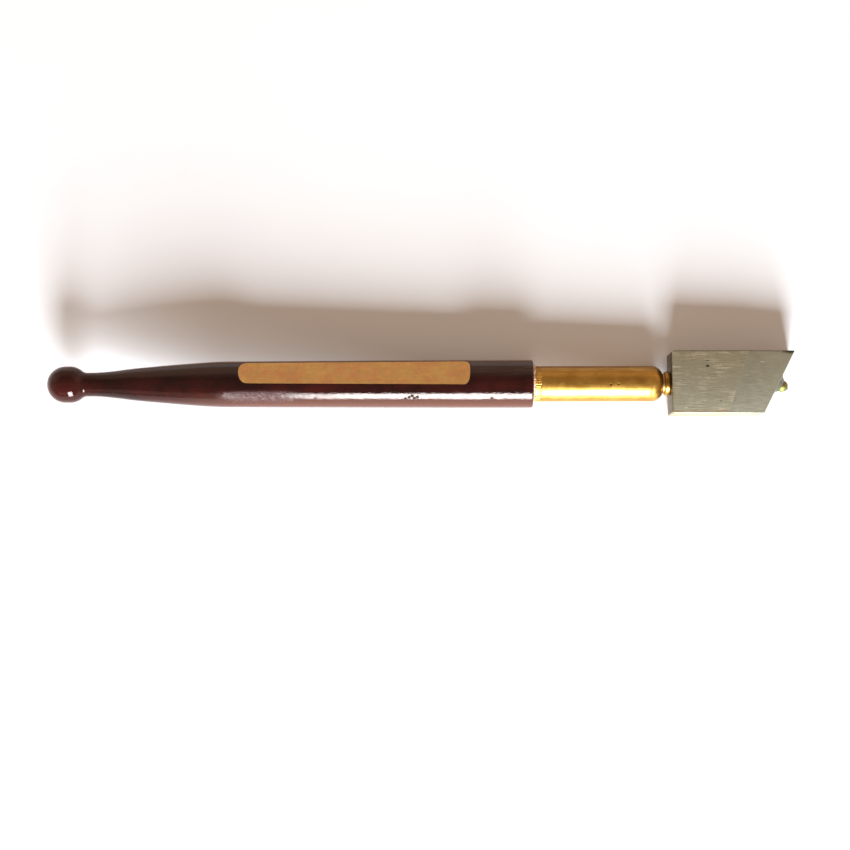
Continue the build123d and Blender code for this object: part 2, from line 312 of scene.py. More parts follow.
class Clouding(Effect):
    """Slow patches of a second colour: tarnish, stain, thinner lacquer."""

    name = "clouding"
    inputs = {
        "Vector": (0.0, 0.0, 0.0),
        "Colour": (0.5, 0.5, 0.5, 1.0),
        "Patch Colour": (0.2, 0.2, 0.2, 1.0),
        "Patch Size": 4.0,
        "Amount": 0.5,
    }
    output = ("Colour", "NodeSocketColor")

    @classmethod
    def fill(cls, graph: Graph, given: bpy.types.NodeOutputs) -> Socket:
        """Two scales of cloud, the finer one breaking up the slower one.

        Args:
            graph: The group's graph.
            given: The group's inputs.

        Returns:
            The clouded colour.
        """
        where = graph.scale(given["Vector"], graph.over(1.0, given["Patch Size"]))
        slow = graph.noise(where, 1.0, 2.0, 0.5)
        fine = graph.noise(where, 5.3, 3.0, 0.6)
        cloud = graph.plus(graph.times(slow, 0.7), graph.times(fine, 0.3))
        cloud = graph.span(cloud, 0.36, 0.66)
        return graph.mix(graph.times(cloud, given["Amount"]), given["Colour"], given["Patch Colour"])


class Specks(Effect):
    """Small scattered marks: dust nibs, pits, pores."""

    name = "specks"
    inputs = {"Vector": (0.0, 0.0, 0.0), "Spacing": 1.5, "Size": 0.12, "Share": 0.3}

    @classmethod
    def fill(cls, graph: Graph, given: bpy.types.NodeOutputs) -> Socket:
        """Cell centres, of which only some are kept, each of its own size.

        Args:
            graph: The group's graph.
            given: The group's inputs.

        Returns:
            1 in a speck, 0 outside.
        """
        where = graph.scale(given["Vector"], graph.over(1.0, given["Spacing"]))
        cells = graph.add("ShaderNodeTexVoronoi", {"Vector": where, "Scale": 1.0})
        pick = graph.add("ShaderNodeSeparateColor", {0: cells.outputs["Color"]}).outputs
        radius = graph.times(graph.over(given["Size"], given["Spacing"]), pick["Green"])
        inside = graph.span(cells.outputs["Distance"], graph.times(radius, 0.5), radius, 1.0, 0.0)
        return graph.times(inside, graph.math("LESS_THAN", pick["Red"], given["Share"]))


class Dent(Effect):
    """One small dent or pit at a stated place, with a broken outline."""

    name = "dent"
    inputs = {"Vector": (0.0, 0.0, 0.0), "Centre": (0.0, 0.0, 0.0), "Stretch": (1.0, 1.0, 1.0), "Radius": 0.3}

    @classmethod
    def fill(cls, graph: Graph, given: bpy.types.NodeOutputs) -> Socket:
        """Distance from the centre, roughened a little.

        Args:
            graph: The group's graph.
            given: The group's inputs.

        Returns:
            1 in the dent, 0 outside.
        """
        away = graph.vector("SUBTRACT", given["Vector"], given["Centre"]).outputs[0]
        away = graph.vector("DIVIDE", away, given["Stretch"]).outputs[0]
        far = graph.vector("LENGTH", away).outputs["Value"]
        ragged = graph.times(graph.minus(graph.noise(given["Vector"], 3.5, 2.0), 0.5), 0.5)
        far = graph.plus(far, graph.times(ragged, given["Radius"]))
        return graph.span(far, graph.times(given["Radius"], 0.45), given["Radius"], 1.0, 0.0)


class EdgeRub(Effect):
    """Where handling has rubbed the edges bright."""

    name = "edge_rub"
    inputs = {"Vector": (0.0, 0.0, 0.0), "Breakup": 1.2, "Amount": 1.0}

    @classmethod
    def fill(cls, graph: Graph, given: bpy.types.NodeOutputs) -> Socket:
        """The difference between the surface's normal and a rounded one, broken up by noise.

        Args:
            graph: The group's graph.
            given: The group's inputs.

        Returns:
            1 where the edge is rubbed most.
        """
        round_normal = graph.add("ShaderNodeBevel", {"Radius": 0.3 * MM}, samples=4).outputs[0]
        plain = graph.add("ShaderNodeNewGeometry").outputs["Normal"]
        same = graph.vector("DOT_PRODUCT", round_normal, plain).outputs["Value"]
        edge = graph.span(same, 0.80, 0.985, 1.0, 0.0)
        broken = graph.span(graph.noise(given["Vector"], given["Breakup"], 3.0, 0.65), 0.35, 0.6)
        return graph.times(graph.times(edge, broken), given["Amount"], clamp=True)


# ------------------------------------------------------------------------------ finishes


@dataclass(frozen=True)
class Finish:
    """What every finish shares: a name, and a Principled shader to feed."""

    name: str

    def material(self) -> bpy.types.Material:
        """The finish's material, made at its first use.

        Returns:
            The material.
        """
        label = self.name + "_finish"
        made = bpy.data.materials.get(label)
        if made is not None:
            return made
        made = bpy.data.materials.new(label)
        made.use_nodes = True
        made.node_tree.nodes.clear()
        graph = Graph(made.node_tree)
        place = graph.add("ShaderNodeTexCoord").outputs["Object"]
        millimetres = graph.scale(place, 1000.0)
        shader = graph.add("ShaderNodeBsdfPrincipled")
        graph.add("ShaderNodeOutputMaterial", {"Surface": shader.outputs[0]})
        self.dress(graph, millimetres, shader)
        return made

    def dress(self, graph: Graph, place: Socket, shader: bpy.types.Node) -> None:
        """Feeds the shader.

        Args:
            graph: The material's graph.
            place: Object coordinates in millimetres.
            shader: The Principled shader.
        """
        raise NotImplementedError

    @staticmethod
    def feed(graph: Graph, shader: bpy.types.Node, **sockets: Socket) -> None:
        """Links results to the shader's inputs.

        Args:
            graph: The material's graph.
            shader: The Principled shader.
            sockets: Results by the shader input's name, with _ for a space.
        """
        for name, value in sockets.items():
            graph.tree.links.new(value, shader.inputs[name.replace("_", " ")])

    @staticmethod
    def bump(graph: Graph, height: Socket, depth: float, under: Socket | None = None) -> Socket:
        """Turns a height into a normal.

        Args:
            graph: The material's graph.
            height: The height, 0 to 1.
            depth: What a height of 1 measures, in millimetres.
            under: The normal of a coarser relief beneath it.

        Returns:
            The normal.
        """
        inputs = {"Height": height, "Strength": 1.0, "Distance": depth * MM}
        if under is not None:
            inputs["Normal"] = under
        return graph.add("ShaderNodeBump", inputs).outputs[0]


@dataclass(frozen=True)
class Lacquer(Finish):
    """Dark red-brown gloss lacquer, brushed on, with the grain faintly showing through."""

    deep: Colour = (0.012, 0.0026, 0.0022)
    red: Colour = (0.060, 0.0075, 0.0060)
    # Painted light: a lighter band low on the window side.
    window_side_light: Colour = (0.092, 0.034, 0.022)
    # Dull lacquer's colour, lighter to paint the broken sheen there.
    dull_sheen: Colour = (0.060, 0.017, 0.019)
    grained: Colour = (0.008, 0.003, 0.003)
    # Painted reflection on the far side, with scuffs near the mouth.
    far_side_reflection_and_scuffs: Colour = (0.080, 0.060, 0.052)
    chipped: Colour = (0.035, 0.020, 0.014)
    specular_tint: Colour = (1.0, 0.87, 0.80)
    sheen_tint: Colour = (1.0, 0.50, 0.40)
    dull_start: float = -50.0
    dull_end: float = -27.0
    ball_from: float = -80.0
    scuffed_from: float = 11.0
    nick_radius: float = 0.52
    nicks: tuple[Colour, ...] = (
        (-3.2, -4.05, 4.10),
        (-2.3, -3.75, 4.37),
        (-1.6, -3.45, 4.61),
        (-1.1, -3.95, 4.19),
        (-0.4, -3.70, 4.41),
        (-24.6, -4.0, 4.14),
        (17.3, -3.95, 4.19),
    )

    def tone(self, graph: Graph, place: Socket) -> Socket:
        """The lacquer's colour: grain and patches, a painted lighter band low on the window side, and on the
        far side a painted lighter reflection with scuffs near the mouth.

        Args:
            graph: The material's graph.
            place: Object coordinates in millimetres.

        Returns:
            The colour.
        """
        split = graph.split(place)
        x, y = split["X"], split["Y"]
        grain = DrawnLines.place(graph, Vector=place, Length=14.0, Width=0.5, Contrast=1.7, Waver=0.8)
        colour = Clouding.place(
            graph, Vector=place, Colour=self.deep, Patch_Colour=self.red, Patch_Size=9.0, Amount=0.42
        )
        on_ball = graph.span(x, self.ball_from, self.ball_from - 2.5)
        colour = graph.mix(graph.times(on_ball, 0.22), colour, self.red)
        colour = graph.mix(graph.span(grain, 0.35, 0.75, 0.30, 0.0), colour, self.grained)
        # Painted light: lighter low on the window side, standing in for the bright floor's reflection.
        window_side_band = graph.times(graph.span(y, -2.6, -5.2), graph.span(x, -72.0, -32.0))
        colour = graph.mix(window_side_band, colour, self.window_side_light)
        lines = DrawnLines.place(graph, Vector=place, Length=9.0, Width=0.24, Contrast=2.6, Waver=0.5)
        scuffed = graph.span(x, self.scuffed_from, self.scuffed_from + 4.0)
        scuffs = graph.times(graph.span(lines, 0.60, 0.85, 0.0, 0.5), scuffed)
        # Painted reflection: the far side made lighter all along; the lines near the mouth are scuffs.
        far_side = graph.times(graph.span(y, 0.6, 2.6), graph.span(x, self.ball_from, self.ball_from + 4.0))
        return graph.mix(graph.times(far_side, graph.plus(scuffs, 0.36)), colour, self.far_side_reflection_and_scuffs)

    def dulled(self, graph: Graph, place: Socket) -> Socket:
        """Where the gloss has gone: a ragged patch along the taper's lower side.

        Args:
            graph: The material's graph.
            place: Object coordinates in millimetres.

        Returns:
            1 where it is dull, 0 where the gloss is whole.
        """
        split = graph.split(place)
        uneven = graph.times(graph.minus(graph.noise(place, 0.9, 3.0, 0.6), 0.5), 5.0)
        along = graph.plus(split["X"], uneven)
        start = graph.span(along, self.dull_start, self.dull_start + 9.0)
        end = graph.span(along, self.dull_end, self.dull_end - 7.0)
        upper = graph.span(split["Y"], -1.7, -2.9)
        lower = graph.span(graph.minus(split["Y"], uneven), -5.3, -4.1)
        return graph.times(graph.times(graph.times(start, end), upper), lower)

    def relief(self, graph: Graph, place: Socket, dull: Socket, nibs: Socket) -> Socket:
        """Slow ripple, brush strokes, and a peel that is strong where the lacquer is dull.

        Args:
            graph: The material's graph.
            place: Object coordinates in millimetres.
            dull: Where it is dull.
            nibs: Where dust lies in the lacquer.

        Returns:
            The normal.
        """
        normal = self.bump(graph, graph.noise(place, 0.55, 2.0, 0.5), 0.035)
        strokes = DrawnLines.place(graph, Vector=place, Length=0.9, Width=0.40, Contrast=1.0, Waver=0.2)
        normal = self.bump(graph, strokes, 0.030, normal)
        peel = graph.times(graph.noise(place, 2.5, 3.0, 0.65), graph.span(dull, 0.0, 1.0, 0.05, 1.0))
        normal = self.bump(graph, peel, 0.075, normal)
        return self.bump(graph, nibs, 0.03, normal)

    def dress(self, graph: Graph, place: Socket, shader: bpy.types.Node) -> None:
        """Colour from grain, patches and painted lighter bands; gloss that goes dull along the taper, with a
        painted sheen there; nicks.

        Args:
            graph: The material's graph.
            place: Object coordinates in millimetres.
            shader: The Principled shader.
        """
        dull = self.dulled(graph, place)
        nibs = Specks.place(graph, Vector=place, Spacing=3.2, Size=0.32, Share=0.22)
        chips: Socket = graph.times(nibs, 0.3)
        for nick in self.nicks:
            mark = Dent.place(graph, Vector=place, Centre=nick, Radius=self.nick_radius)
            chips = graph.math("MAXIMUM", chips, mark)
        # Dull lacquer; its lighter colour here is a painted sheen.
        colour = graph.mix(graph.times(dull, 0.7), self.tone(graph, place), self.dull_sheen)
        colour = graph.mix(graph.times(chips, 0.8), colour, self.chipped)
        smooth = graph.span(graph.noise(place, 2.6, 3.0, 0.6), 0.3, 0.7, 0.055, 0.10)
        grainy = graph.span(graph.noise(place, 2.6, 3.0, 0.7), 0.38, 0.60, 0.19, 0.64)
        rough = graph.plus(smooth, graph.times(dull, grainy))
        rough = graph.plus(rough, graph.times(chips, 0.9), clamp=True)
        normal = self.relief(graph, place, dull, nibs)
        self.feed(graph, shader, Base_Color=colour, Roughness=rough, Normal=normal)
        shader.inputs["IOR"].default_value = 1.37
        shader.inputs["Specular Tint"].default_value = (*self.specular_tint, 1.0)
        shader.inputs["Sheen Weight"].default_value = 0.30
        shader.inputs["Sheen Roughness"].default_value = 0.35
        shader.inputs["Sheen Tint"].default_value = (*self.sheen_tint, 1.0)


@dataclass(frozen=True)
class BareWood(Finish):
    """Close-grained wood, cut flat and sanded, with no lacquer on it."""

    light: Colour = (0.85, 0.52, 0.168)
    warm: Colour = (0.79, 0.365, 0.148)
    green: Colour = (0.62, 0.44, 0.15)
    dark: Colour = (0.36, 0.15, 0.05)
    pore_stretch: Colour = (3.2, 1.0, 1.0)

    def dress(self, graph: Graph, place: Socket, shader: bpy.types.Node) -> None:
        """Grain along the handle, pores, and sanding marks across it.

        Args:
            graph: The material's graph.
            place: Object coordinates in millimetres.
            shader: The Principled shader.
        """
        grain = DrawnLines.place(graph, Vector=place, Length=9.0, Width=0.30, Contrast=2.0, Waver=1.2)
        crosswise = graph.turned(place, 84.0)
        across = DrawnLines.place(graph, Vector=crosswise, Length=2.4, Width=0.16, Contrast=1.8, Waver=0.3)
        colour = Clouding.place(
            graph, Vector=place, Colour=self.light, Patch_Colour=self.warm, Patch_Size=4.0, Amount=0.9
        )
        colour = Clouding.place(
            graph, Vector=place, Colour=colour, Patch_Colour=self.green, Patch_Size=1.5, Amount=0.40
        )
        colour = graph.mix(graph.span(grain, 0.25, 0.6, 0.13, 0.0), colour, self.dark)
        colour = graph.mix(graph.span(across, 0.2, 0.45, 0.26, 0.0), colour, self.dark)
        drawn_out = graph.vector("DIVIDE", place, self.pore_stretch).outputs[0]
        pores = Specks.place(graph, Vector=drawn_out, Spacing=0.55, Size=0.16, Share=0.35)
        colour = graph.mix(graph.times(pores, 0.30), colour, self.dark)
        normal = self.bump(graph, grain, 0.03)
        normal = self.bump(graph, across, 0.025, normal)
        rough = graph.span(across, 0.2, 0.8, 0.62, 0.8)
        self.feed(graph, shader, Base_Color=colour, Roughness=rough, Normal=normal)
        shader.inputs["IOR"].default_value = 1.45


@dataclass(frozen=True)
class Brass(Finish):
    """Turned brass, a little tarnished, with painted shade on its far side and dome."""

    bright: Colour = (0.76, 0.45, 0.105)
    tarnish: Colour = (0.46, 0.215, 0.030)
    # Painted shade for the far side and the dome.
    far_side_shade: Colour = (0.24, 0.115, 0.028)
    stained: Colour = (0.22, 0.11, 0.03)
    rubbed: Colour = (0.84, 0.54, 0.15)
    pitted: Colour = (0.10, 0.05, 0.015)
    tarnish_amount: float = 0.55
    gloss: float = 0.32
    line_width: float = 0.14
    dome_from: float = 55.7
    pit_radius: float = 0.33
    pits: tuple[Colour, ...] = ()

    def painted_shade_marks(self, graph: Graph, place: Socket, lines: Socket) -> Socket:
        """Painted shade: darker on the far side, and on the dome at the nose.

        Args:
            graph: The material's graph.
            place: Object coordinates in millimetres.
            lines: The drawn lines, which the dark follows.

        Returns:
            1 where it is darkest.
        """
        split = graph.split(place)
        on_dome = graph.span(split["X"], self.dome_from, self.dome_from + 1.2)
        dome = graph.times(on_dome, graph.span(split["Y"], -2.0, 0.0, 0.0, 0.75))
        darker = graph.math("MAXIMUM", graph.span(split["Y"], 0.6, 3.0, 0.08, 0.88), dome)
        return graph.times(darker, graph.span(lines, 0.2, 0.8, 1.0, 0.65))

    def dress(self, graph: Graph, place: Socket, shader: bpy.types.Node) -> None:
        """Tarnish in patches, fine drawn lines, stains and pits.

        Args:
            graph: The material's graph.
            place: Object coordinates in millimetres.
            shader: The Principled shader.
        """
        lines = DrawnLines.place(
            graph, Vector=place, Length=6.0, Width=self.line_width, Contrast=1.6, Waver=0.05
        )
        colour = Clouding.place(
            graph,
            Vector=place,
            Colour=self.bright,
            Patch_Colour=self.tarnish,
            Patch_Size=3.2,
            Amount=self.tarnish_amount,
        )
        colour = graph.mix(graph.span(lines, 0.3, 0.7, 0.22, 0.0), colour, self.tarnish)
        # Painted shade: darker on the far side and on the dome.
        colour = graph.mix(self.painted_shade_marks(graph, place, lines), colour, self.far_side_shade)
        stains = Specks.place(graph, Vector=place, Spacing=2.1, Size=0.5, Share=0.35)
        colour = graph.mix(graph.times(stains, 0.35), colour, self.stained)
        rub = EdgeRub.place(graph, Vector=place, Breakup=1.5, Amount=0.3)
        colour = graph.mix(rub, colour, self.rubbed)
        rough = graph.span(lines, 0.2, 0.8, self.gloss + 0.05, self.gloss - 0.03)
        rough = graph.plus(rough, graph.times(stains, 0.15))
        cloud = graph.noise(place, 0.5, 3.0, 0.6)
        rough = graph.plus(rough, graph.span(cloud, 0.35, 0.7, 0.0, 0.07))
        holes = Specks.place(graph, Vector=place, Spacing=1.7, Size=0.16, Share=0.18)
        for pit in self.pits:
            mark = Dent.place(graph, Vector=place, Centre=pit, Radius=self.pit_radius)
            holes = graph.math("MAXIMUM", holes, mark)
        colour = graph.mix(holes, colour, self.pitted)
        normal = self.bump(graph, lines, 0.006)
        normal = self.bump(graph, graph.minus(1.0, holes), 0.05, normal)
        self.feed(graph, shader, Base_Color=colour, Roughness=rough, Normal=normal)
        shader.inputs["Metallic"].default_value = 1.0


@dataclass(frozen=True)
class GroundSteel(Finish):
    """Steel ground lengthwise, with a finer polished bevel at its working end."""

    light: Colour = (0.94, 0.94, 0.76)
    even: Colour = (0.54, 0.54, 0.41)
    dark: Colour = (0.30, 0.29, 0.20)
    tan: Colour = (0.52, 0.38, 0.22)
    smooth: Colour = (0.50, 0.52, 0.42)
    clouded: Colour = (0.45, 0.44, 0.35)
    rusted: Colour = (0.22, 0.15, 0.09)
    rubbed: Colour = (0.80, 0.78, 0.66)
    # Painted shade for faces turned from the window.
    away_side_shade: Colour = (0.085, 0.064, 0.034)
    # Painted glints.
    painted_glint: Colour = (0.95, 0.93, 0.80)
    # Dark of dents, and of the painted shade at the tip's far edge.
    dent_and_shade_dark: Colour = (0.05, 0.045, 0.030)
    back_at: float = 60.16
    side_at: float = 7.5
    bevel_at: float = 76.01
    bevel_skew: float = 0.3277
    glint_radius: float = 0.3
    dents_and_corner_shade: tuple[tuple[Colour, Colour, float], ...] = ()
    glints: tuple[tuple[Colour, Colour], ...] = ()

    def bevelled(self, graph: Graph, place: Socket) -> Socket:
        """Tells the bevel from the ground face, with a slightly ragged line between them.

        Args:
            graph: The material's graph.
            place: Object coordinates in millimetres.

        Returns:
            1 on the bevel, 0 on the ground face.
        """
        split = graph.split(place)
        along = graph.times(graph.minus(split["X"], self.bevel_at), math.cos(self.bevel_skew))
        past = graph.minus(along, graph.times(split["Y"], math.sin(self.bevel_skew)))
        ragged = graph.times(graph.minus(graph.noise(place, 1.4, 3.0, 0.7), 0.5), 0.5)
        return graph.span(graph.plus(past, ragged), -0.12, 0.12)

    def ground(self, graph: Graph, place: Socket, coarse: Socket, fine: Socket) -> Socket:
        """The ground face's colour: dark and light lines, and a tan strip at its near edge.

        Args:
            graph: The material's graph.
            place: Object coordinates in millimetres.
            coarse: The coarse grinding lines.
            fine: The fine ones.

        Returns:
            The colour.
        """
        colour = graph.mix(graph.span(coarse, 0.15, 0.55, 0.65, 0.0), self.even, self.dark)
        patchy = graph.span(graph.noise(place, 0.33, 2.0, 0.5), 0.35, 0.62, 0.25, 1.0)
        colour = graph.mix(graph.times(graph.span(fine, 0.52, 0.80), patchy), colour, self.light)
        near_edge = graph.span(graph.split(place)["Y"], -6.9, -6.5, 1.0, 0.0)
        strip = graph.times(near_edge, graph.span(fine, 0.3, 0.6))
        return graph.mix(graph.times(strip, 0.6), colour, self.tan)

    def polished(self, graph: Graph, place: Socket, scratches: Socket) -> Socket:
        """The bevel's colour: clouded, with faint scratches.

        Args:
            graph: The material's graph.
            place: Object coordinates in millimetres.
            scratches: The scratches that slant across it.

        Returns:
            The colour.
        """
        colour = Clouding.place(
            graph, Vector=place, Colour=self.smooth, Patch_Colour=self.clouded, Patch_Size=3.5, Amount=0.6
        )
        return graph.mix(graph.span(scratches, 0.3, 0.7, 0.14, 0.0), colour, self.dark)

    def shaded_faces(self, graph: Graph, place: Socket) -> Socket:
        """Painted shade: the back face, the far side face and the rim above it, all turned from the window.

        Args:
            graph: The material's graph.
            place: Object coordinates in millimetres.

        Returns:
            1 where it is dirtiest.
        """
        split = graph.split(place)
        behind = graph.span(split["X"], self.back_at + 0.03, self.back_at + 0.14, 1.0, 0.0)
        beside = graph.span(split["Y"], self.side_at - 0.13, self.side_at - 0.03)
        rim = graph.span(split["Y"], self.side_at - 0.30, self.side_at - 0.20, 0.0, 0.55)
        faces = graph.times(graph.math("MAXIMUM", behind, beside), 0.86)
        return graph.math("MAXIMUM", faces, rim)

    def dress(self, graph: Graph, place: Socket, shader: bpy.types.Node) -> None:
        """Heavy grinding lines up to the bevel, then a fine matt polish; rust, dent marks, painted shade on
        the faces turned from the window, and painted glints.

        Args:
            graph: The material's graph.
            place: Object coordinates in millimetres.
            shader: The Principled shader.
        """
        bevel = self.bevelled(graph, place)
        coarse = DrawnLines.place(graph, Vector=place, Length=4.0, Width=0.25, Contrast=1.9, Waver=0.1)
        canted = graph.turned(place, 2.0)
        fine = DrawnLines.place(graph, Vector=canted, Length=3.2, Width=0.17, Contrast=2.2, Waver=0.05)
        lines = graph.plus(graph.times(coarse, 0.5), graph.times(fine, 0.5))
        slanted = graph.turned(place, -62.0)
        scratches = DrawnLines.place(
            graph, Vector=slanted, Length=3.0, Width=0.22, Contrast=0.9, Waver=0.3
        )
        ground = self.ground(graph, place, coarse, fine)
        colour = graph.mix(bevel, ground, self.polished(graph, place, scratches))
        rust = Specks.place(graph, Vector=place, Spacing=1.9, Size=0.3, Share=0.25)
        colour = graph.mix(graph.times(rust, 0.4), colour, self.rusted)
        rub = EdgeRub.place(graph, Vector=place, Breakup=0.9, Amount=0.35)
        colour = graph.mix(rub, colour, self.rubbed)
        # Painted shade on the back face, the far side face and the far rim.
        colour = graph.mix(self.shaded_faces(graph, place), colour, self.away_side_shade)
        # Painted glints: near-white spots on the steel.
        for centre, stretch in self.glints:
            glint = Dent.place(
                graph, Vector=place, Centre=centre, Stretch=stretch, Radius=self.glint_radius
            )
            colour = graph.mix(graph.times(glint, 0.8), colour, self.painted_glint)
        dent_and_shade: Socket = graph.times(rust, 0.2)
        # Dents darken; the one at the tip's far edge is painted shade.
        for centre, stretch, radius in self.dents_and_corner_shade:
            mark = Dent.place(graph, Vector=place, Centre=centre, Stretch=stretch, Radius=radius)
            dent_and_shade = graph.math("MAXIMUM", dent_and_shade, mark)
        colour = graph.mix(graph.times(dent_and_shade, 0.88), colour, self.dent_and_shade_dark)
        rough = graph.plus(graph.span(lines, 0.2, 0.8, 0.50, 0.40), graph.times(bevel, 0.04))
        relief = graph.times(lines, graph.span(bevel, 0.0, 1.0, 1.0, 0.0))
        normal = self.bump(graph, relief, 0.03)
        normal = self.bump(graph, graph.minus(1.0, dent_and_shade), 0.02, normal)
        normal = self.bump(graph, scratches, 0.003, normal)
        self.feed(graph, shader, Base_Color=colour, Roughness=rough, Normal=normal)
        shader.inputs["Metallic"].default_value = 1.0


@dataclass(frozen=True)
class PlainMetal(Finish):
    """Solder, washers, wire and pins: one metal with stains and fine marks."""

    colour: Colour = (0.5, 0.5, 0.48)
    stain: Colour = (0.25, 0.23, 0.2)
    stain_amount: float = 0.6
    patch: float = 1.2
    rough: float = 0.4
    lump: float = 0.01

    def dress(self, graph: Graph, place: Socket, shader: bpy.types.Node) -> None:
        """Stained patches over slight lumps and specks.

        Args:
            graph: The material's graph.
            place: Object coordinates in millimetres.
            shader: The Principled shader.
        """
        colour = Clouding.place(
            graph,
            Vector=place,
            Colour=self.colour,
            Patch_Colour=self.stain,
            Patch_Size=self.patch,
            Amount=self.stain_amount,
        )
        specks = Specks.place(graph, Vector=place, Spacing=0.6, Size=0.16, Share=0.3)
        colour = graph.mix(graph.times(specks, 0.4), colour, self.stain)
        cloud = graph.noise(place, 2.2, 3.0, 0.6)
        rough = graph.span(cloud, 0.3, 0.7, self.rough - 0.06, self.rough + 0.1)
        normal = self.bump(graph, cloud, self.lump)
        self.feed(graph, shader, Base_Color=colour, Roughness=rough, Normal=normal)
        shader.inputs["Metallic"].default_value = 1.0


@dataclass(frozen=True)
class Cement(Finish):
    """Hard tan cement, squeezed out at the handle's mouth."""

    pale: Colour = (0.78, 0.56, 0.40)
    dark: Colour = (0.36, 0.17, 0.09)

    def dress(self, graph: Graph, place: Socket, shader: bpy.types.Node) -> None:
        """Blotchy, with dark crumbs and a grainy surface.

        Args:
            graph: The material's graph.
            place: Object coordinates in millimetres.
            shader: The Principled shader.
        """
        colour = Clouding.place(
            graph, Vector=place, Colour=self.pale, Patch_Colour=self.dark, Patch_Size=0.9, Amount=0.75
        )
        crumbs = Specks.place(graph, Vector=place, Spacing=0.45, Size=0.2, Share=0.4)
        colour = graph.mix(graph.times(crumbs, 0.6), colour, self.dark)
        grit = graph.noise(place, 5.0, 3.0, 0.65)
        rough = graph.span(grit, 0.3, 0.7, 0.7, 0.85)
        self.feed(
            graph, shader, Base_Color=colour, Roughness=rough, Normal=self.bump(graph, grit, 0.05)
        )


@dataclass(frozen=True)
class Stone(Finish):
    """An uncut diamond point: clear, a little grey, with frosted natural faces."""

    clear: Colour = (0.82, 0.84, 0.82)
    grey: Colour = (0.6, 0.62, 0.58)
    refraction: float = 2.42

    def dress(self, graph: Graph, place: Socket, shader: bpy.types.Node) -> None:
        """Glass of a diamond's index, frosted in patches.

        Args:
            graph: The material's graph.
            place: Object coordinates in millimetres.
            shader: The Principled shader.
        """
        colour = Clouding.place(
            graph, Vector=place, Colour=self.clear, Patch_Colour=self.grey, Patch_Size=0.4, Amount=0.7
        )
        frost = graph.noise(place, 6.0, 3.0, 0.6)
        rough = graph.span(frost, 0.35, 0.7, 0.03, 0.3)
        self.feed(
            graph, shader, Base_Color=colour, Roughness=rough, Normal=self.bump(graph, frost, 0.004)
        )
        shader.inputs["Transmission Weight"].default_value = 1.0
        shader.inputs["IOR"].default_value = self.refraction


@dataclass(frozen=True)
class Paper(Finish):
    """The plain white sheet that the tool lies on."""

    white: Colour = (0.875, 0.885, 0.90)
    shade: Colour = (0.845, 0.855, 0.885)

    def dress(self, graph: Graph, place: Socket, shader: bpy.types.Node) -> None:
        """Nearly even white, with a trace of tooth.

        Args:
            graph: The material's graph.
            place: Object coordinates in millimetres.
            shader: The Principled shader.
        """
        colour = Clouding.place(
            graph, Vector=place, Colour=self.white, Patch_Colour=self.shade, Patch_Size=60.0, Amount=0.6
        )
        tooth = graph.noise(place, 2.0, 2.0, 0.6)
        rough = graph.span(tooth, 0.2, 0.8, 0.85, 0.95)
        self.feed(
            graph, shader, Base_Color=colour, Roughness=rough, Normal=self.bump(graph, tooth, 0.01)
        )


PIN_STEEL = PlainMetal("pin_steel", (0.52, 0.51, 0.49), (0.28, 0.24, 0.2), rough=0.33)
WASHER_BRASS = PlainMetal("washer_brass", (0.50, 0.33, 0.13), (0.16, 0.10, 0.05), rough=0.42)
PLUG_BRASS = PlainMetal("plug_brass", (0.62, 0.42, 0.16), (0.3, 0.19, 0.08), rough=0.38)
NUT_BRASS = PlainMetal("nut_brass", (0.66, 0.46, 0.18), (0.3, 0.2, 0.09), rough=0.34)
SPRING_WIRE = PlainMetal("spring_wire", (0.34, 0.33, 0.32), (0.12, 0.1, 0.09), rough=0.3)
GREY_SOLDER = PlainMetal("grey_solder", (0.24, 0.235, 0.18), (0.15, 0.15, 0.105), rough=0.5, lump=0.04)


# ------------------------------------------------------------------------------ meshes


def box_sizes(node: str) -> tuple[Vector, Vector]:
    """A CAD node's lowest and highest corners, in millimetres."""
    low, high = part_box(node)
    return low / MM, high / MM


def arc(centre: tuple[float, float], radius: float, start: float, end: float, steps: int) -> Profile:
    """Points along an arc of a profile.

    Args:
        centre: The arc's centre.
        radius: Its radius.
        start: Its first angle, in degrees.
        end: Its last angle, in degrees.
        steps: How many pieces it is divided into.

    Returns:
        The points, both ends included.
    """
    angles = [math.radians(start + (end - start) * i / steps) for i in range(steps + 1)]
    return [(centre[0] + radius * math.cos(a), centre[1] + radius * math.sin(a)) for a in angles]


def divide(start: tuple[float, float], end: tuple[float, float], step: float) -> Profile:
    """Points along a straight piece of a profile, the first one left out.

    Args:
        start: Where it starts.
        end: Where it ends.
        step: The longest distance between points.

    Returns:
        The points.
    """
    count = max(1, math.ceil(math.dist(start, end) / step))
    return [
        (start[0] + (end[0] - start[0]) * i / count, start[1] + (end[1] - start[1]) * i / count)
        for i in range(1, count + 1)
    ]


def inset(profile: Profile, depth: float) -> Profile:
    """A profile moved towards its right-hand side, which is inwards for a skin that runs along +X.

    Args:
        profile: The points.
        depth: How far each moves, square to the profile.

    Returns:
        The moved points, with no radius under 0.
    """
    moved = []
    for i, (x, r) in enumerate(profile):
        before, after = profile[max(i - 1, 0)], profile[min(i + 1, len(profile) - 1)]
        along = Vector((after[0] - before[0], after[1] - before[1])).normalized()
        if i == 0 and r == 0.0:
            along = Vector((0.0, 1.0))
        moved.append((x + along.y * depth, max(r - along.x * depth, 0.0)))
    return moved


def new_object(name: str, mesh: bpy.types.Mesh) -> bpy.types.Object:
    """Puts a mesh in the scene.

    Args:
        name: The object's name.
        mesh: Its mesh.

    Returns:
        The object.
    """
    made = bpy.data.objects.new(name, mesh)
    bpy.context.scene.collection.objects.link(made)
    return made


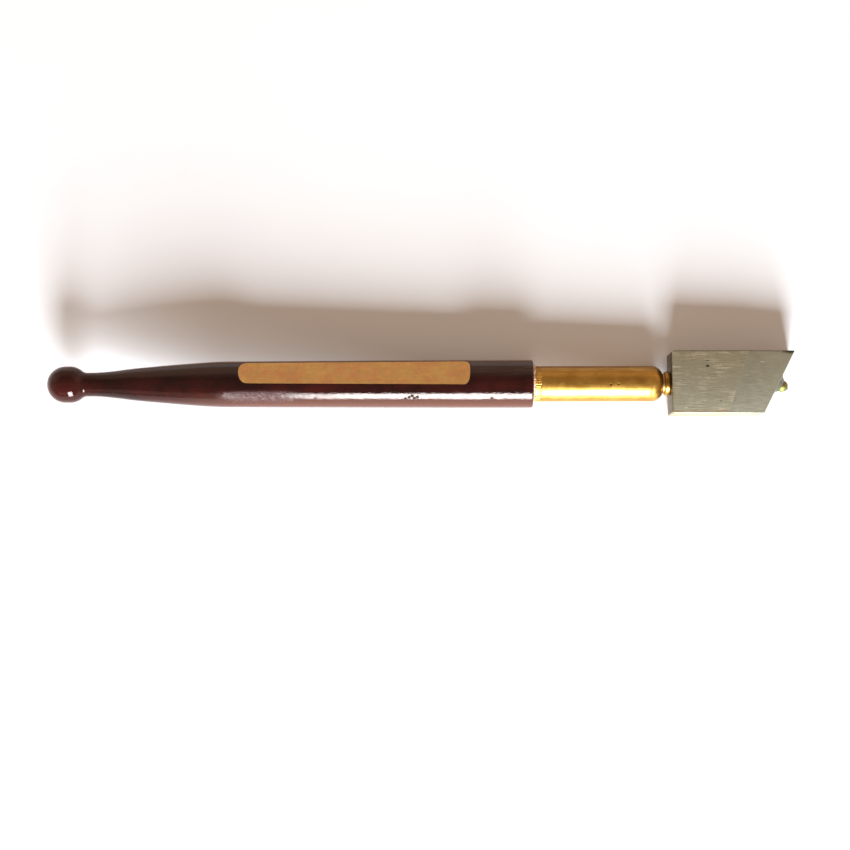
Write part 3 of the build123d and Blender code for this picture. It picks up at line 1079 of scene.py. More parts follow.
def mesh_object(name: str, work: bmesh.types.BMesh) -> bpy.types.Object:
    """Ends a hand-made mesh and gives it an object.

    Args:
        name: The object's name, and the mesh's.
        work: The mesh in the making, which is freed.

    Returns:
        The object.
    """
    mesh = bpy.data.meshes.new(name)
    work.to_mesh(mesh)
    work.free()
    return new_object(name, mesh)


def finish_mesh(mesh: bpy.types.Mesh, sharp: float = 32.0) -> None:
    """Smooth shading with crisp edges.

    Args:
        mesh: The mesh.
        sharp: The angle above which an edge stays crisp, in degrees.
    """
    mesh.shade_smooth()
    mesh.set_sharp_from_angle(angle=math.radians(sharp))


def turned(
    name: str,
    profile: Profile,
    segments: int,
    closed: bool = False,
    move: Callable[[Vector, float], Vector] | None = None,
) -> bpy.types.Object:
    """A solid turned about the X axis.

    Args:
        name: The object's name.
        profile: (x, radius) points in millimetres; a radius of 0 is a pole.
        segments: How many steps it has round the axis.
        closed: Whether the profile is a closed loop, as for a ring.
        move: Moves a point, given the point and its angle, for an uneven surface.

    Returns:
        The object.
    """
    work = bmesh.new()
    rings: list[list[bmesh.types.BMVert]] = []
    for x, radius in profile:
        count = 1 if radius <= 1e-9 else segments
        ring = []
        for k in range(count):
            angle = 2.0 * math.pi * k / segments
            point = Vector((x, radius * math.cos(angle), radius * math.sin(angle)))
            if move is not None and count > 1:
                point = move(point, angle)
            ring.append(work.verts.new(point * MM))
        rings.append(ring)
    pairs = list(zip(rings, rings[1:]))
    if closed:
        pairs.append((rings[-1], rings[0]))
    for first, second in pairs:
        if len(first) == 1 and len(second) == 1:
            continue
        for k in range(segments):
            after = (k + 1) % segments
            corners = [first[k % len(first)], second[k % len(second)], second[after % len(second)],
                       first[after % len(first)]]
            unique = list(dict.fromkeys(corners))
            work.faces.new(unique)
    bmesh.ops.recalc_face_normals(work, faces=work.faces)
    return mesh_object(name, work)


def prism(name: str, outline: Profile, plane: Matrix, low: float, high: float) -> bpy.types.Object:
    """A straight solid with a polygon section.

    Args:
        name: The object's name.
        outline: The section's corners, in millimetres.
        plane: Places the section's x, y and the length's z, in millimetres.
        low: Where the length starts.
        high: Where it ends.

    Returns:
        The object.
    """
    work = bmesh.new()
    ends = []
    for along in (low, high):
        ends.append([work.verts.new((plane @ Vector((x, y, along))) * MM) for x, y in outline])
    work.faces.new(ends[0])
    work.faces.new(list(reversed(ends[1])))
    for i in range(len(outline)):
        j = (i + 1) % len(outline)
        work.faces.new([ends[0][j], ends[0][i], ends[1][i], ends[1][j]])
    bmesh.ops.recalc_face_normals(work, faces=work.faces)
    return mesh_object(name, work)


def round_bar(name: str, start: Vector, end: Vector, radius: float, sides: int = 40) -> bpy.types.Object:
    """A round bar between two points, mostly for drilling.

    Args:
        name: The object's name.
        start: One end of its axis, in millimetres.
        end: The other end.
        radius: Its radius.
        sides: How many sides it has.

    Returns:
        The object.
    """
    turn = (end - start).to_track_quat("Z", "Y").to_matrix().to_4x4()
    plane = Matrix.Translation(start) @ turn
    outline = arc((0.0, 0.0), radius, 0.0, 360.0, sides)[:-1]
    return prism(name, outline, plane, 0.0, (end - start).length)


def baked(piece: bpy.types.Object) -> bpy.types.Object:
    """Turns a piece's modifiers into plain mesh.

    Args:
        piece: The piece.

    Returns:
        The same piece.
    """
    graph = bpy.context.evaluated_depsgraph_get()
    old = piece.data
    mesh = bpy.data.meshes.new_from_object(piece.evaluated_get(graph))
    piece.modifiers.clear()
    piece.data = mesh
    mesh.name = piece.name
    bpy.data.meshes.remove(old)
    return piece


def cut(piece: bpy.types.Object, cutters: Sequence[bpy.types.Object]) -> bpy.types.Object:
    """Takes the cutters' shapes out of a piece, and removes the cutters.

    Args:
        piece: The piece.
        cutters: What is cut away.

    Returns:
        The same piece.
    """
    for cutter in cutters:
        step = piece.modifiers.new("cut", "BOOLEAN")
        step.operation = "DIFFERENCE"
        step.solver = "EXACT"
        step.object = cutter
    bpy.context.view_layer.update()
    baked(piece)
    for cutter in cutters:
        bpy.data.meshes.remove(cutter.data)
    work = bmesh.new()
    work.from_mesh(piece.data)
    bmesh.ops.remove_doubles(work, verts=work.verts, dist=1e-7)
    bmesh.ops.dissolve_degenerate(work, edges=work.edges, dist=1e-7)
    work.to_mesh(piece.data)
    work.free()
    return piece


def dress(piece: bpy.types.Object, finish: Finish, body: Body, node: str | None) -> None:
    """Finishes a new piece and puts it on its body.

    Args:
        piece: The piece.
        finish: What it is finished in.
        body: The body it moves with.
        node: The CAD node it stands for, if any.
    """
    piece.data.materials.clear()
    piece.data.materials.append(finish.material())
    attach(piece, body.value)
    if node is not None:
        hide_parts(node)
    LOG.info("%s: %d faces, rides on %s", piece.name, len(piece.data.polygons), body.value)


def dress_node(node: str, finish: Finish) -> None:
    """Gives a CAD node that stays its finish.

    Args:
        node: The node.
        finish: What it is finished in.
    """
    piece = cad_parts[node]
    piece.data.materials.clear()
    piece.data.materials.append(finish.material())
    LOG.info("%s: kept from the CAD", node)


class ShapeTree:
    """A geometry node tree with named inputs, run once and turned into a plain mesh."""

    def __init__(self, name: str, sizes: dict[str, float | int]) -> None:
        """Starts the tree.

        Args:
            name: The tree's name.
            sizes: Its inputs, with the values they are given.
        """
        self.sizes = sizes
        self.tree = bpy.data.node_groups.new(name, "GeometryNodeTree")
        self.tree.interface.new_socket(name="Geometry", in_out="OUTPUT", socket_type="NodeSocketGeometry")
        for label, value in sizes.items():
            kind = "NodeSocketInt" if isinstance(value, int) else "NodeSocketFloat"
            self.tree.interface.new_socket(name=label, in_out="INPUT", socket_type=kind)
        self.graph = Graph(self.tree)
        self.given = self.graph.add("NodeGroupInput").outputs

    def run(self, name: str, shape: Socket, finish: Finish) -> bpy.types.Object:
        """Ends the tree and makes its object.

        Args:
            name: The object's name.
            shape: The geometry.
            finish: What it is finished in.

        Returns:
            The object, with a plain mesh.
        """
        real = self.graph.add("GeometryNodeRealizeInstances", {0: shape})
        coated = self.graph.add("GeometryNodeSetMaterial", {"Geometry": real.outputs[0]})
        coated.inputs["Material"].default_value = finish.material()
        self.graph.add("NodeGroupOutput", {0: coated.outputs[0]})
        piece = new_object(name, bpy.data.meshes.new(name))
        step = piece.modifiers.new("shape", "NODES")
        step.node_group = self.tree
        for item in self.tree.interface.items_tree:
            if item.in_out == "INPUT" and item.name in self.sizes:
                step[item.identifier] = self.sizes[item.name]
        bpy.context.view_layer.update()
        baked(piece)
        finish_mesh(piece.data)
        return piece


def coil(
    name: str,
    finish: Finish,
    start: float,
    length: float,
    radius: float,
    wire: float,
    turns: float,
    flat_turns: float,
) -> bpy.types.Object:
    """A wire wound round the tool's axis.

    Args:
        name: The object's name.
        finish: What it is finished in.
        start: Where its first turn lies along X, in millimetres.
        length: Its length.
        radius: The radius of the wire's middle line.
        wire: The wire's own radius.
        turns: How many turns it has.
        flat_turns: How many turns at each end lie close together.

    Returns:
        The coil.
    """
    shape = ShapeTree(name + "_tree", {
        "Start": start * MM, "Length": length * MM, "Radius": radius * MM, "Wire": wire * MM,
        "Turns": float(turns), "Flat Turns": float(flat_turns),
    })
    graph, given = shape.graph, shape.given
    helix = graph.add("GeometryNodeCurveSpiral", {
        "Resolution": 28, "Rotations": given["Turns"], "Start Radius": given["Radius"],
        "End Radius": given["Radius"], "Height": 1.0,
    })
    place = graph.add("ShaderNodeSeparateXYZ", {0: graph.add("GeometryNodeInputPosition").outputs[0]}).outputs
    part = graph.over(given["Flat Turns"], given["Turns"])
    dead = graph.times(graph.times(given["Flat Turns"], given["Wire"]), 2.0)
    first = graph.add("ShaderNodeMapRange", {
        "Value": place["Z"], "From Min": 0.0, "From Max": part, "To Min": 0.0, "To Max": dead,
    }).outputs[0]
    middle = graph.add("ShaderNodeMapRange", {
        "Value": place["Z"], "From Min": part, "From Max": graph.minus(1.0, part), "To Min": 0.0,
        "To Max": graph.minus(given["Length"], graph.times(dead, 2.0)),
    }).outputs[0]
    last = graph.add("ShaderNodeMapRange", {
        "Value": place["Z"], "From Min": graph.minus(1.0, part), "From Max": 1.0, "To Min": 0.0,
        "To Max": dead,
    }).outputs[0]
    along = graph.plus(graph.plus(first, middle), graph.plus(last, given["Start"]))
    where = graph.add("ShaderNodeCombineXYZ", {0: along, 1: place["X"], 2: place["Y"]}).outputs[0]
    wound = graph.add("GeometryNodeSetPosition", {"Geometry": helix.outputs[0], "Position": where})
    section = graph.add("GeometryNodeCurvePrimitiveCircle", {"Resolution": 10, "Radius": given["Wire"]})
    tube = graph.add("GeometryNodeCurveToMesh", {
        "Curve": wound.outputs[0], "Profile Curve": section.outputs[0], "Fill Caps": True,
    })
    return shape.run(name, tube.outputs[0], finish)


# ------------------------------------------------------------------------------ handle


@dataclass
class Handle:
    """The wooden handle: its core, its coat of lacquer and the cement at its mouth."""

    ball_radius: float = 4.4
    ball_straight: float = 1.1
    neck_radius: float = 2.88
    neck_end: float = 10.6
    neck_cove: float = 0.5
    swell_length: float = 33.4
    swell_shape: tuple[tuple[float, float], ...] = ((0.0, 0.0), (0.35, 0.42), (0.67, 0.775), (1.0, 1.0))
    grip_taper: float = 0.24
    grip_cylinder: float = 15.0
    mouth_round: float = 0.4
    flat_length: float = 55.3
    flat_from_mouth: float = 15.1
    flat_depth: float = 1.05
    flat_lean: float = 28.5
    flat_tail_run_out: float = 3.0
    flat_mouth_run_out: float = 1.5
    cutter_reach: float = 9.0
    coat: float = 0.05
    coat_gap: float = 0.002
    bore_radius: float = 4.40
    bore_depth: float = 14.5
    drill_half_angle: float = 59.0
    bead_run: float = 0.55
    bead_rise: float = 0.42
    bead_gap: float = 0.001
    segments: int = 128
    tail: float = field(init=False)
    mouth: float = field(init=False)
    grip_radius: float = field(init=False)

    def __post_init__(self) -> None:
        """Takes the handle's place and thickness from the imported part."""
        low, high = box_sizes("handle")
        self.tail, self.mouth, self.grip_radius = low.x, high.x, -low.z

    def swell(self, share: float) -> float:
        """How far the handle has swelled at a share of the swell's length, from 0 to 1.

        Args:
            share: The share of the swell's length.

        Returns:
            The share of its rise.
        """
        knots = self.swell_shape
        slopes = [0.0]
        slopes += [
            (knots[i + 1][1] - knots[i - 1][1]) / (knots[i + 1][0] - knots[i - 1][0])
            for i in range(1, len(knots) - 1)
        ]
        slopes.append(0.0)
        i = min(sum(share >= knot[0] for knot in knots[1:-1]), len(knots) - 2)
        wide = knots[i + 1][0] - knots[i][0]
        t = (share - knots[i][0]) / wide
        return (
            (2 * t**3 - 3 * t**2 + 1) * knots[i][1]
            + (t**3 - 2 * t**2 + t) * wide * slopes[i]
            + (-2 * t**3 + 3 * t**2) * knots[i + 1][1]
            + (t**3 - t**2) * wide * slopes[i + 1]
        )

    def outline(self) -> Profile:
        """The outside of the handle, from the ball's pole to the edge of its mouth face.

        Returns:
            The points, in millimetres.
        """
        ball = self.tail + self.ball_radius
        shoulder_radius = self.grip_radius - self.grip_taper
        neck_angle = math.degrees(math.asin(self.neck_radius / self.ball_radius))
        points = arc((ball, 0.0), self.ball_radius, 180.0, 90.0, steps=22)
        points[0] = (self.tail, 0.0)
        points += divide(points[-1], (ball + self.ball_straight, self.ball_radius), step=0.4)
        far_side = (ball + self.ball_straight, 0.0)
        points += arc(far_side, self.ball_radius, 90.0, neck_angle + 5.0, steps=14)[1:]
        joint = ball + self.ball_straight + self.ball_radius * math.cos(math.radians(neck_angle))
        points += [(joint + 0.02, self.neck_radius + 0.20), (joint + 0.20, self.neck_radius + 0.07)]
        points += [(joint + self.neck_cove, self.neck_radius + 0.01)]
        swell_start = self.tail + self.neck_end
        points += divide(points[-1], (swell_start, self.neck_radius), step=0.5)
        rise = shoulder_radius - self.neck_radius
        steps = 56
        for i in range(1, steps + 1):
            x = swell_start + self.swell_length * i / steps
            points.append((x, self.neck_radius + rise * self.swell(i / steps)))
        points += divide(points[-1], (self.mouth - self.grip_cylinder, self.grip_radius), step=0.8)
        points += divide(points[-1], (self.mouth - self.mouth_round, self.grip_radius), step=0.8)
        corner = (self.mouth - self.mouth_round, self.grip_radius - self.mouth_round)
        points += arc(corner, self.mouth_round, 90.0, 0.0, steps=6)[1:]
        return points

    def uneven(self, point: Vector, angle: float) -> Vector:
        """The turner's and the brush's unevenness: never more than 0.03 mm, and only inwards.

        Args:
            point: A point on the handle, in millimetres.
            angle: Its angle about the axis.

        Returns:
            The moved point.
        """
        where = Vector((point.x * 0.16, math.cos(angle) * 1.1, math.sin(angle) * 1.1))
        slow = noise.noise(where)
        quick = noise.noise(where * 4.1 + Vector((7.0, 0.0, 0.0)))
        fade = min(1.0, max(0.0, (self.mouth - point.x) / 3.0))
        depth = (0.022 * (0.5 + slow) + 0.007 * (0.5 + quick)) * fade
        radius = math.hypot(point.y, point.z)
        share = max(radius - max(depth, 0.0), 0.0) / radius
        return Vector((point.x, point.y * share, point.z * share))

    def flat_cutter(self) -> bpy.types.Object:
        """The solid that cuts the flat, with its two run-outs.

        Returns:
            The cutter.
        """
        height = self.grip_radius - self.grip_taper / 2 - self.flat_depth
        end = self.mouth - self.flat_from_mouth
        start = end - self.flat_length
        near, far = self.flat_mouth_run_out, self.flat_tail_run_out
        near_x = end - math.sqrt(near**2 - (near - self.flat_depth) ** 2)
        far_x = start + math.sqrt(far**2 - (far - self.flat_depth) ** 2)
        top = height + near + far
        outline = arc((far_x, height + far), far, 180.0, 270.0, steps=20)
        outline += arc((near_x, height + near), near, 270.0, 360.0, steps=16)
        outline += [(near_x + near, top), (far_x - far, top)]
        lean = math.radians(self.flat_lean)
        plane = Matrix((
            (1, 0, 0, 0),
            (0, math.sin(lean), -math.cos(lean), 0),
            (0, math.cos(lean), math.sin(lean), 0),
            (0, 0, 0, 1),
        ))
        return prism("flat_cutter", outline, plane, -self.cutter_reach, self.cutter_reach)

    def make_lacquer(self) -> bpy.types.Object:
        """The coat of lacquer, a closed skin cut through at the flat.

        Returns:
            The coat.
        """
        outside = self.outline()
        inside = inset(outside, self.coat)
        inside[0] = (self.tail + self.coat, 0.0)
        skin = outside + list(reversed(inside))
        coat = turned("lacquer_coat", skin, self.segments, move=self.uneven)
        cut(coat, [self.flat_cutter()])
        finish_mesh(coat.data)
        return coat

    def make_wood(self) -> bpy.types.Object:
        """The wood under the lacquer, bored for the ferrule.

        Returns:
            The wood.
        """
        depth = self.coat + self.coat_gap
        skin = inset(self.outline(), depth)
        skin[0] = (self.tail + depth, 0.0)
        mouth = skin[-1][0]
        bottom = self.mouth - self.bore_depth
        bore = [(mouth, self.bore_radius + 0.1), (mouth, self.bore_radius)]
        bore += divide(bore[-1], (bottom, self.bore_radius), step=4.0)
        point = self.bore_radius / math.tan(math.radians(self.drill_half_angle))
        bore += [(bottom - point, 0.0)]
        wood = turned("handle_wood", skin + bore, self.segments, move=self.uneven_skin)
        cut(wood, [self.flat_cutter()])
        finish_mesh(wood.data)
        return wood

    def uneven_skin(self, point: Vector, angle: float) -> Vector:
        """Moves the wood's outside with the lacquer on it, and leaves the bore round.

        Args:
            point: A point on the wood, in millimetres.
            angle: Its angle about the axis.

        Returns:
            The moved point.
        """
        halfway = (self.bore_radius + self.grip_radius) / 2
        in_bore = point.x > self.mouth - self.bore_depth - 0.01
        if in_bore and math.hypot(point.y, point.z) < halfway:
            return point
        return self.uneven(point, angle)

    def make_cement(self) -> bpy.types.Object:
        """The cement round the ferrule's tail, with the uneven bead that it left at the mouth.

        Returns:
            The cement.
        """
        inner = -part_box("ferrule")[0].z / MM + 0.01
        outer = self.bore_radius - 0.01
        tail = box_sizes("handle_cement")[0].x
        face = self.mouth + self.bead_gap
        steps = 10
        section = []
        for i in range(steps):
            angle = math.pi / 2 * i / steps
            rise = self.bead_rise * math.sin(angle) + 0.02 * math.cos(angle)
            section.append((self.mouth + self.bead_run * math.cos(angle), inner + rise))
        section += [(face, outer + self.bead_rise), (face, outer)]
        section += divide(section[-1], (tail, outer), step=3.0)
        section += [(tail, inner)]
        section += divide(section[-1], (self.mouth + 0.1, inner), step=3.0)

        def crumble(point: Vector, angle: float) -> Vector:
            """Moves the bead in and out, and leaves the sleeve as it is.

            Args:
                point: A point on the cement, in millimetres.
                angle: Its angle about the axis.

            Returns:
                The moved point.
            """
            if point.x < self.mouth + self.bead_gap / 2:
                return point
            around = Vector((point.x * 2.0, math.cos(angle) * 7.0, math.sin(angle) * 7.0))
            amount = 1.0 + 0.65 * noise.noise(around) + 0.30 * noise.noise(around * 3.1)
            radius = math.hypot(point.y, point.z)
            grown = inner + (radius - inner) * min(amount, 1.25)
            x = face + (point.x - face) * min(amount, 1.2)
            return Vector((x, point.y * grown / radius, point.z * grown / radius))

        bead = turned("cement_bead", section, 200, closed=True, move=crumble)
        finish_mesh(bead.data, sharp=60.0)
        return bead

    def build(self) -> None:
        """Makes and finishes the handle's pieces."""
        dress(self.make_wood(), BareWood("bare_wood"), Body.HANDLE, "handle")
        dress(self.make_lacquer(), Lacquer("dark_lacquer"), Body.HANDLE, None)
        dress(self.make_cement(), Cement("tan_cement"), Body.HANDLE, "handle_cement")


# ------------------------------------------------------------------------------ ferrule


@dataclass
class Ferrule:
    """The brass ferrule with its knurled tail, and what is fixed in it."""

    bore_radius: float = 2.8
    nose_bore_radius: float = 1.83
    nose_face_radius: float = 2.3
    nose_bore_length: float = 7.0
    dome_length: float = 2.72
    nose_chamfer: float = 0.06
    tail_chamfer: float = 0.3
    line_depth: float = 0.022
    knurl_depth: float = 0.06
    knurl_start: float = -10.0
    knurl_end: float = 1.9
    knurl_count: int = 44
    knurl_early: float = -0.35
    knurl_late: float = 0.25
    ridge_sunk: float = 0.012
    drill_gap: float = 0.012
    drill_reach: float = 9.0
    pin_from_nose: float = 3.7
    pin_radius: float = 0.6
    segments: int = 160
    pits: tuple[Colour, ...] = ((45.6, -0.75, 4.13), (47.4, -0.6, 4.15))
    tail: float = field(init=False)
    nose: float = field(init=False)
    radius: float = field(init=False)
    mouth: float = field(init=False)

    def __post_init__(self) -> None:
        """Takes the ferrule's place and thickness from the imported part."""
        low, high = box_sizes("ferrule")
        self.tail, self.nose, self.radius = low.x, high.x, high.y
        self.mouth = box_sizes("handle")[1].x

    def make_tube(self) -> bpy.types.Object:
        """The bored tube, with its domed nose and the turned line where the dome begins.

        Returns:
            The tube.
        """
        dome = self.nose - self.dome_length
        drop = self.radius - self.nose_face_radius
        dome_radius = (self.dome_length**2 + drop**2) / (2 * drop)
        sweep = math.degrees(math.asin(self.dome_length / dome_radius))
        low = self.radius - self.knurl_depth
        knurl_start, knurl_end = self.mouth + self.knurl_start, self.mouth + self.knurl_end
        chamfer = self.tail_chamfer
        outside: Profile = [(self.tail, self.radius - chamfer), (self.tail + chamfer, self.radius)]
        outside += divide(outside[-1], (knurl_start - 0.15, self.radius), step=1.5)
        outside += [(knurl_start, low)]
        outside += divide(outside[-1], (knurl_end, low), step=1.2)
        outside += [(knurl_end + 0.12, self.radius - 0.01), (knurl_end + 0.2, self.radius)]
        outside += divide(outside[-1], (dome - 0.14, self.radius), step=1.0)
        line = self.radius - self.line_depth
        outside += [(dome - 0.08, line), (dome - 0.02, line)]
        outside += arc((dome, self.radius - dome_radius), dome_radius, 90.0, 90.0 - sweep, steps=22)
        shoulder = self.nose - self.nose_bore_length
        chamfer = self.nose_chamfer
        inside: Profile = [(self.nose, self.nose_bore_radius + chamfer)]
        inside += [(self.nose - chamfer, self.nose_bore_radius)]
        inside += divide(inside[-1], (shoulder, self.nose_bore_radius), step=2.0)
        inside += [(shoulder, self.bore_radius)]
        inside += divide(inside[-1], (self.tail, self.bore_radius), step=6.0)
        tube = turned("ferrule_tube", outside + inside, self.segments, closed=True)
        pin = self.nose - self.pin_from_nose
        below, centre = Vector((pin, 0, -self.drill_reach)), Vector((pin, 0, -0.2))
        drill = round_bar("pin_drill", below, centre, self.pin_radius + self.drill_gap)
        cut(tube, [drill])
        finish_mesh(tube.data, sharp=28.0)
        return tube

    def make_knurl(self, finish: Finish) -> bpy.types.Object:
        """The straight knurl: ridges set round the ferrule by rule.

        Args:
            finish: The ridges' finish.

        Returns:
            The ridges, in one mesh.
        """
        shape = ShapeTree("knurl_tree", {
            "Count": self.knurl_count,
            "Foot Radius": (self.radius - self.knurl_depth) * MM,
            "Ridge Height": (self.knurl_depth - self.ridge_sunk) * MM,
            "Start": (self.mouth + self.knurl_start + 0.1) * MM,
            "Length": (self.knurl_end - self.knurl_start - 0.15) * MM,
            "Earliest": self.knurl_early * MM,
            "Latest": self.knurl_late * MM,
            "Seed": 7,
        })
        graph, given = shape.graph, shape.given
        ring = graph.add("GeometryNodeMeshCircle", {"Vertices": given["Count"], "Radius": 1.0})
        index = graph.add("GeometryNodeInputIndex").outputs[0]
        angle = graph.times(graph.over(index, given["Count"]), 2.0 * math.pi)
        foot = graph.minus(given["Foot Radius"], given["Ridge Height"])
        y = graph.times(graph.math("COSINE", angle), foot)
        z = graph.times(graph.math("SINE", angle), foot)
        limits = {2: given["Earliest"], 3: given["Latest"], 8: given["Seed"]}
        chance = graph.add("FunctionNodeRandomValue", limits, data_type="FLOAT").outputs[1]
        half = graph.times(given["Length"], 0.5)
        middle = graph.plus(graph.plus(given["Start"], half), chance)
        where = graph.add("ShaderNodeCombineXYZ", {0: middle, 1: y, 2: z}).outputs[0]
        placed = graph.add("GeometryNodeSetPosition", {"Geometry": ring.outputs[0], "Position": where})
        twice = graph.times(given["Ridge Height"], 2.0)
        ridge = graph.add("GeometryNodeMeshCylinder", {
            "Vertices": 8, "Side Segments": 1, "Fill Segments": 1, "Radius": twice, "Depth": given["Length"],
        })
        flat = (0.0, math.pi / 2, 0.0)
        lay = graph.add("GeometryNodeTransform", {"Geometry": ridge.outputs[0], "Rotation": flat})
        turn = graph.add("ShaderNodeCombineXYZ", {0: angle, 1: 0.0, 2: 0.0}).outputs[0]
        ridges = graph.add("GeometryNodeInstanceOnPoints", {
            "Points": placed.outputs[0], "Instance": lay.outputs[0], "Rotation": turn,
        })
        return shape.run("knurl_ridges", ridges.outputs[0], finish)

    def build(self) -> None:
        """Makes and finishes the ferrule's pieces."""
        brass = Brass("ferrule_brass", pits=self.pits)
        dress(self.make_tube(), brass, Body.HANDLE, "ferrule")
        dress(self.make_knurl(brass), brass, Body.HANDLE, None)
        dress_node("ferrule_plug", PLUG_BRASS)
        dress_node("nose_washer", WASHER_BRASS)
        dress_node("spring_seat_washer", WASHER_BRASS)
        dress_node("stop_pin", PIN_STEEL)


# ------------------------------------------------------------------------------ swivel


@dataclass
class Swivel:
    """The spindle that the head turns on, and what draws it snug."""

    journal_radius: float = 1.8
    bead_radius: float = 2.9
    bead_round: float = 0.5
    body_radius: float = 1.45
    thread_radius: float = 1.25
    thread_depth: float = 0.12
    thread_pitch: float = 0.4
    thread_wire: float = 0.085
    end_chamfer: float = 0.25
    tenon_radius: float = 2.0
    tenon_length: float = 9.0
    tenon_chamfer: float = 0.3
    spring_turns: float = 7.0
    wire_radius: float = 0.3
    groove_half_angle: float = 51.52
    groove_half_length: float = 0.66
    groove_floor: float = 1.04
    groove_reach: float = 2.6
    face_gap: float = 0.02
    pin_from_nose: float = 3.7
    head_pin_from_block: float = 4.6
    head_pin_bore: float = 0.81
    segments: int = 112

    def make_spindle(self) -> bpy.types.Object:
        """The turned spindle, with its bead, its stop groove and the hole for the head pin.

        Returns:
            The spindle.
        """
        low, high = box_sizes("spindle")
        block = box_sizes("head_block")[0].x
        bead = box_sizes("nose_washer")[1].x + self.face_gap
        nose = box_sizes("ferrule")[1].x
        seat = box_sizes("spring_seat_washer")[0].x
        nut_front = box_sizes("retaining_nut")[1].x
        edge = self.bead_round
        root = self.thread_radius - self.thread_depth
        profile: Profile = [(low.x, 0.0), (low.x, self.thread_radius - self.end_chamfer)]
        profile += [(low.x + self.end_chamfer, root)]
        profile += divide(profile[-1], (nut_front, root), step=1.0)
        profile += [(nut_front, self.body_radius)]
        profile += divide(profile[-1], (seat, self.body_radius), step=2.0)
        profile += [(seat, self.journal_radius)]
        profile += divide(profile[-1], (bead, self.journal_radius), step=1.0)
        profile += [(bead, self.journal_radius + 0.3)]
        profile += arc((bead + edge, self.bead_radius - edge), edge, 180.0, 90.0, steps=9)
        profile += arc((block - edge, self.bead_radius - edge), edge, 90.0, 0.0, steps=9)
        profile += [(block, self.tenon_radius)]
        tenon_end = block + self.tenon_length - self.tenon_chamfer
        profile += divide(profile[-1], (tenon_end, self.tenon_radius), step=1.5)
        profile += [(high.x, self.tenon_radius - self.tenon_chamfer), (high.x, 0.0)]
        spindle = turned("swivel_spindle", profile, self.segments)
        pin = nose - self.pin_from_nose
        half, reach = self.groove_half_angle, self.groove_reach
        wide = reach * math.tan(math.radians(half))
        floor = arc((0.0, 0.0), self.groove_floor, -90.0 - half, -90.0 + half, steps=16)
        wedge = floor + [(wide, -reach), (-wide, -reach)]
        plane = Matrix(((0, 0, 1, 0), (1, 0, 0, 0), (0, 1, 0, 0), (0, 0, 0, 1)))
        start, end = pin - self.groove_half_length, pin + self.groove_half_length
        groove = prism("groove_cutter", wedge, plane, start, end)
        across = block + self.head_pin_from_block
        aside = 3 * self.tenon_radius
        ends = Vector((across, -aside, 0)), Vector((across, aside, 0))
        hole = round_bar("head_pin_drill", *ends, self.head_pin_bore)
        cut(spindle, [groove, hole])
        finish_mesh(spindle.data, sharp=30.0)
        return spindle

    def build(self) -> None:
        """Makes and finishes the swivel's pieces."""
        brass = Brass("spindle_brass", tarnish_amount=0.45, gloss=0.25)
        dress(self.make_spindle(), brass, Body.HEAD, "spindle")
        tail = box_sizes("spindle")[0].x
        thread_length = box_sizes("retaining_nut")[1].x - tail - 2 * self.end_chamfer
        thread = coil(
            "spindle_thread",
            brass,
            start=tail + self.end_chamfer + 0.1,
            length=thread_length,
            radius=self.thread_radius - self.thread_depth,
            wire=self.thread_wire,
            turns=thread_length / self.thread_pitch,
            flat_turns=0.05,
        )
        dress(thread, brass, Body.HEAD, None)
        low, high = box_sizes("swivel_spring")
        spring = coil(
            "swivel_coil",
            SPRING_WIRE,
            start=low.x + self.wire_radius,
            length=high.x - low.x - 2 * self.wire_radius,
            radius=(high.y - low.y) / 2 - self.wire_radius,
            wire=self.wire_radius,
            turns=self.spring_turns,
            flat_turns=1.0,
        )
        dress(spring, SPRING_WIRE, Body.HEAD, "swivel_spring")
        dress_node("spring_washer", WASHER_BRASS)
        dress_node("retaining_nut", NUT_BRASS)


# ------------------------------------------------------------------------------ head


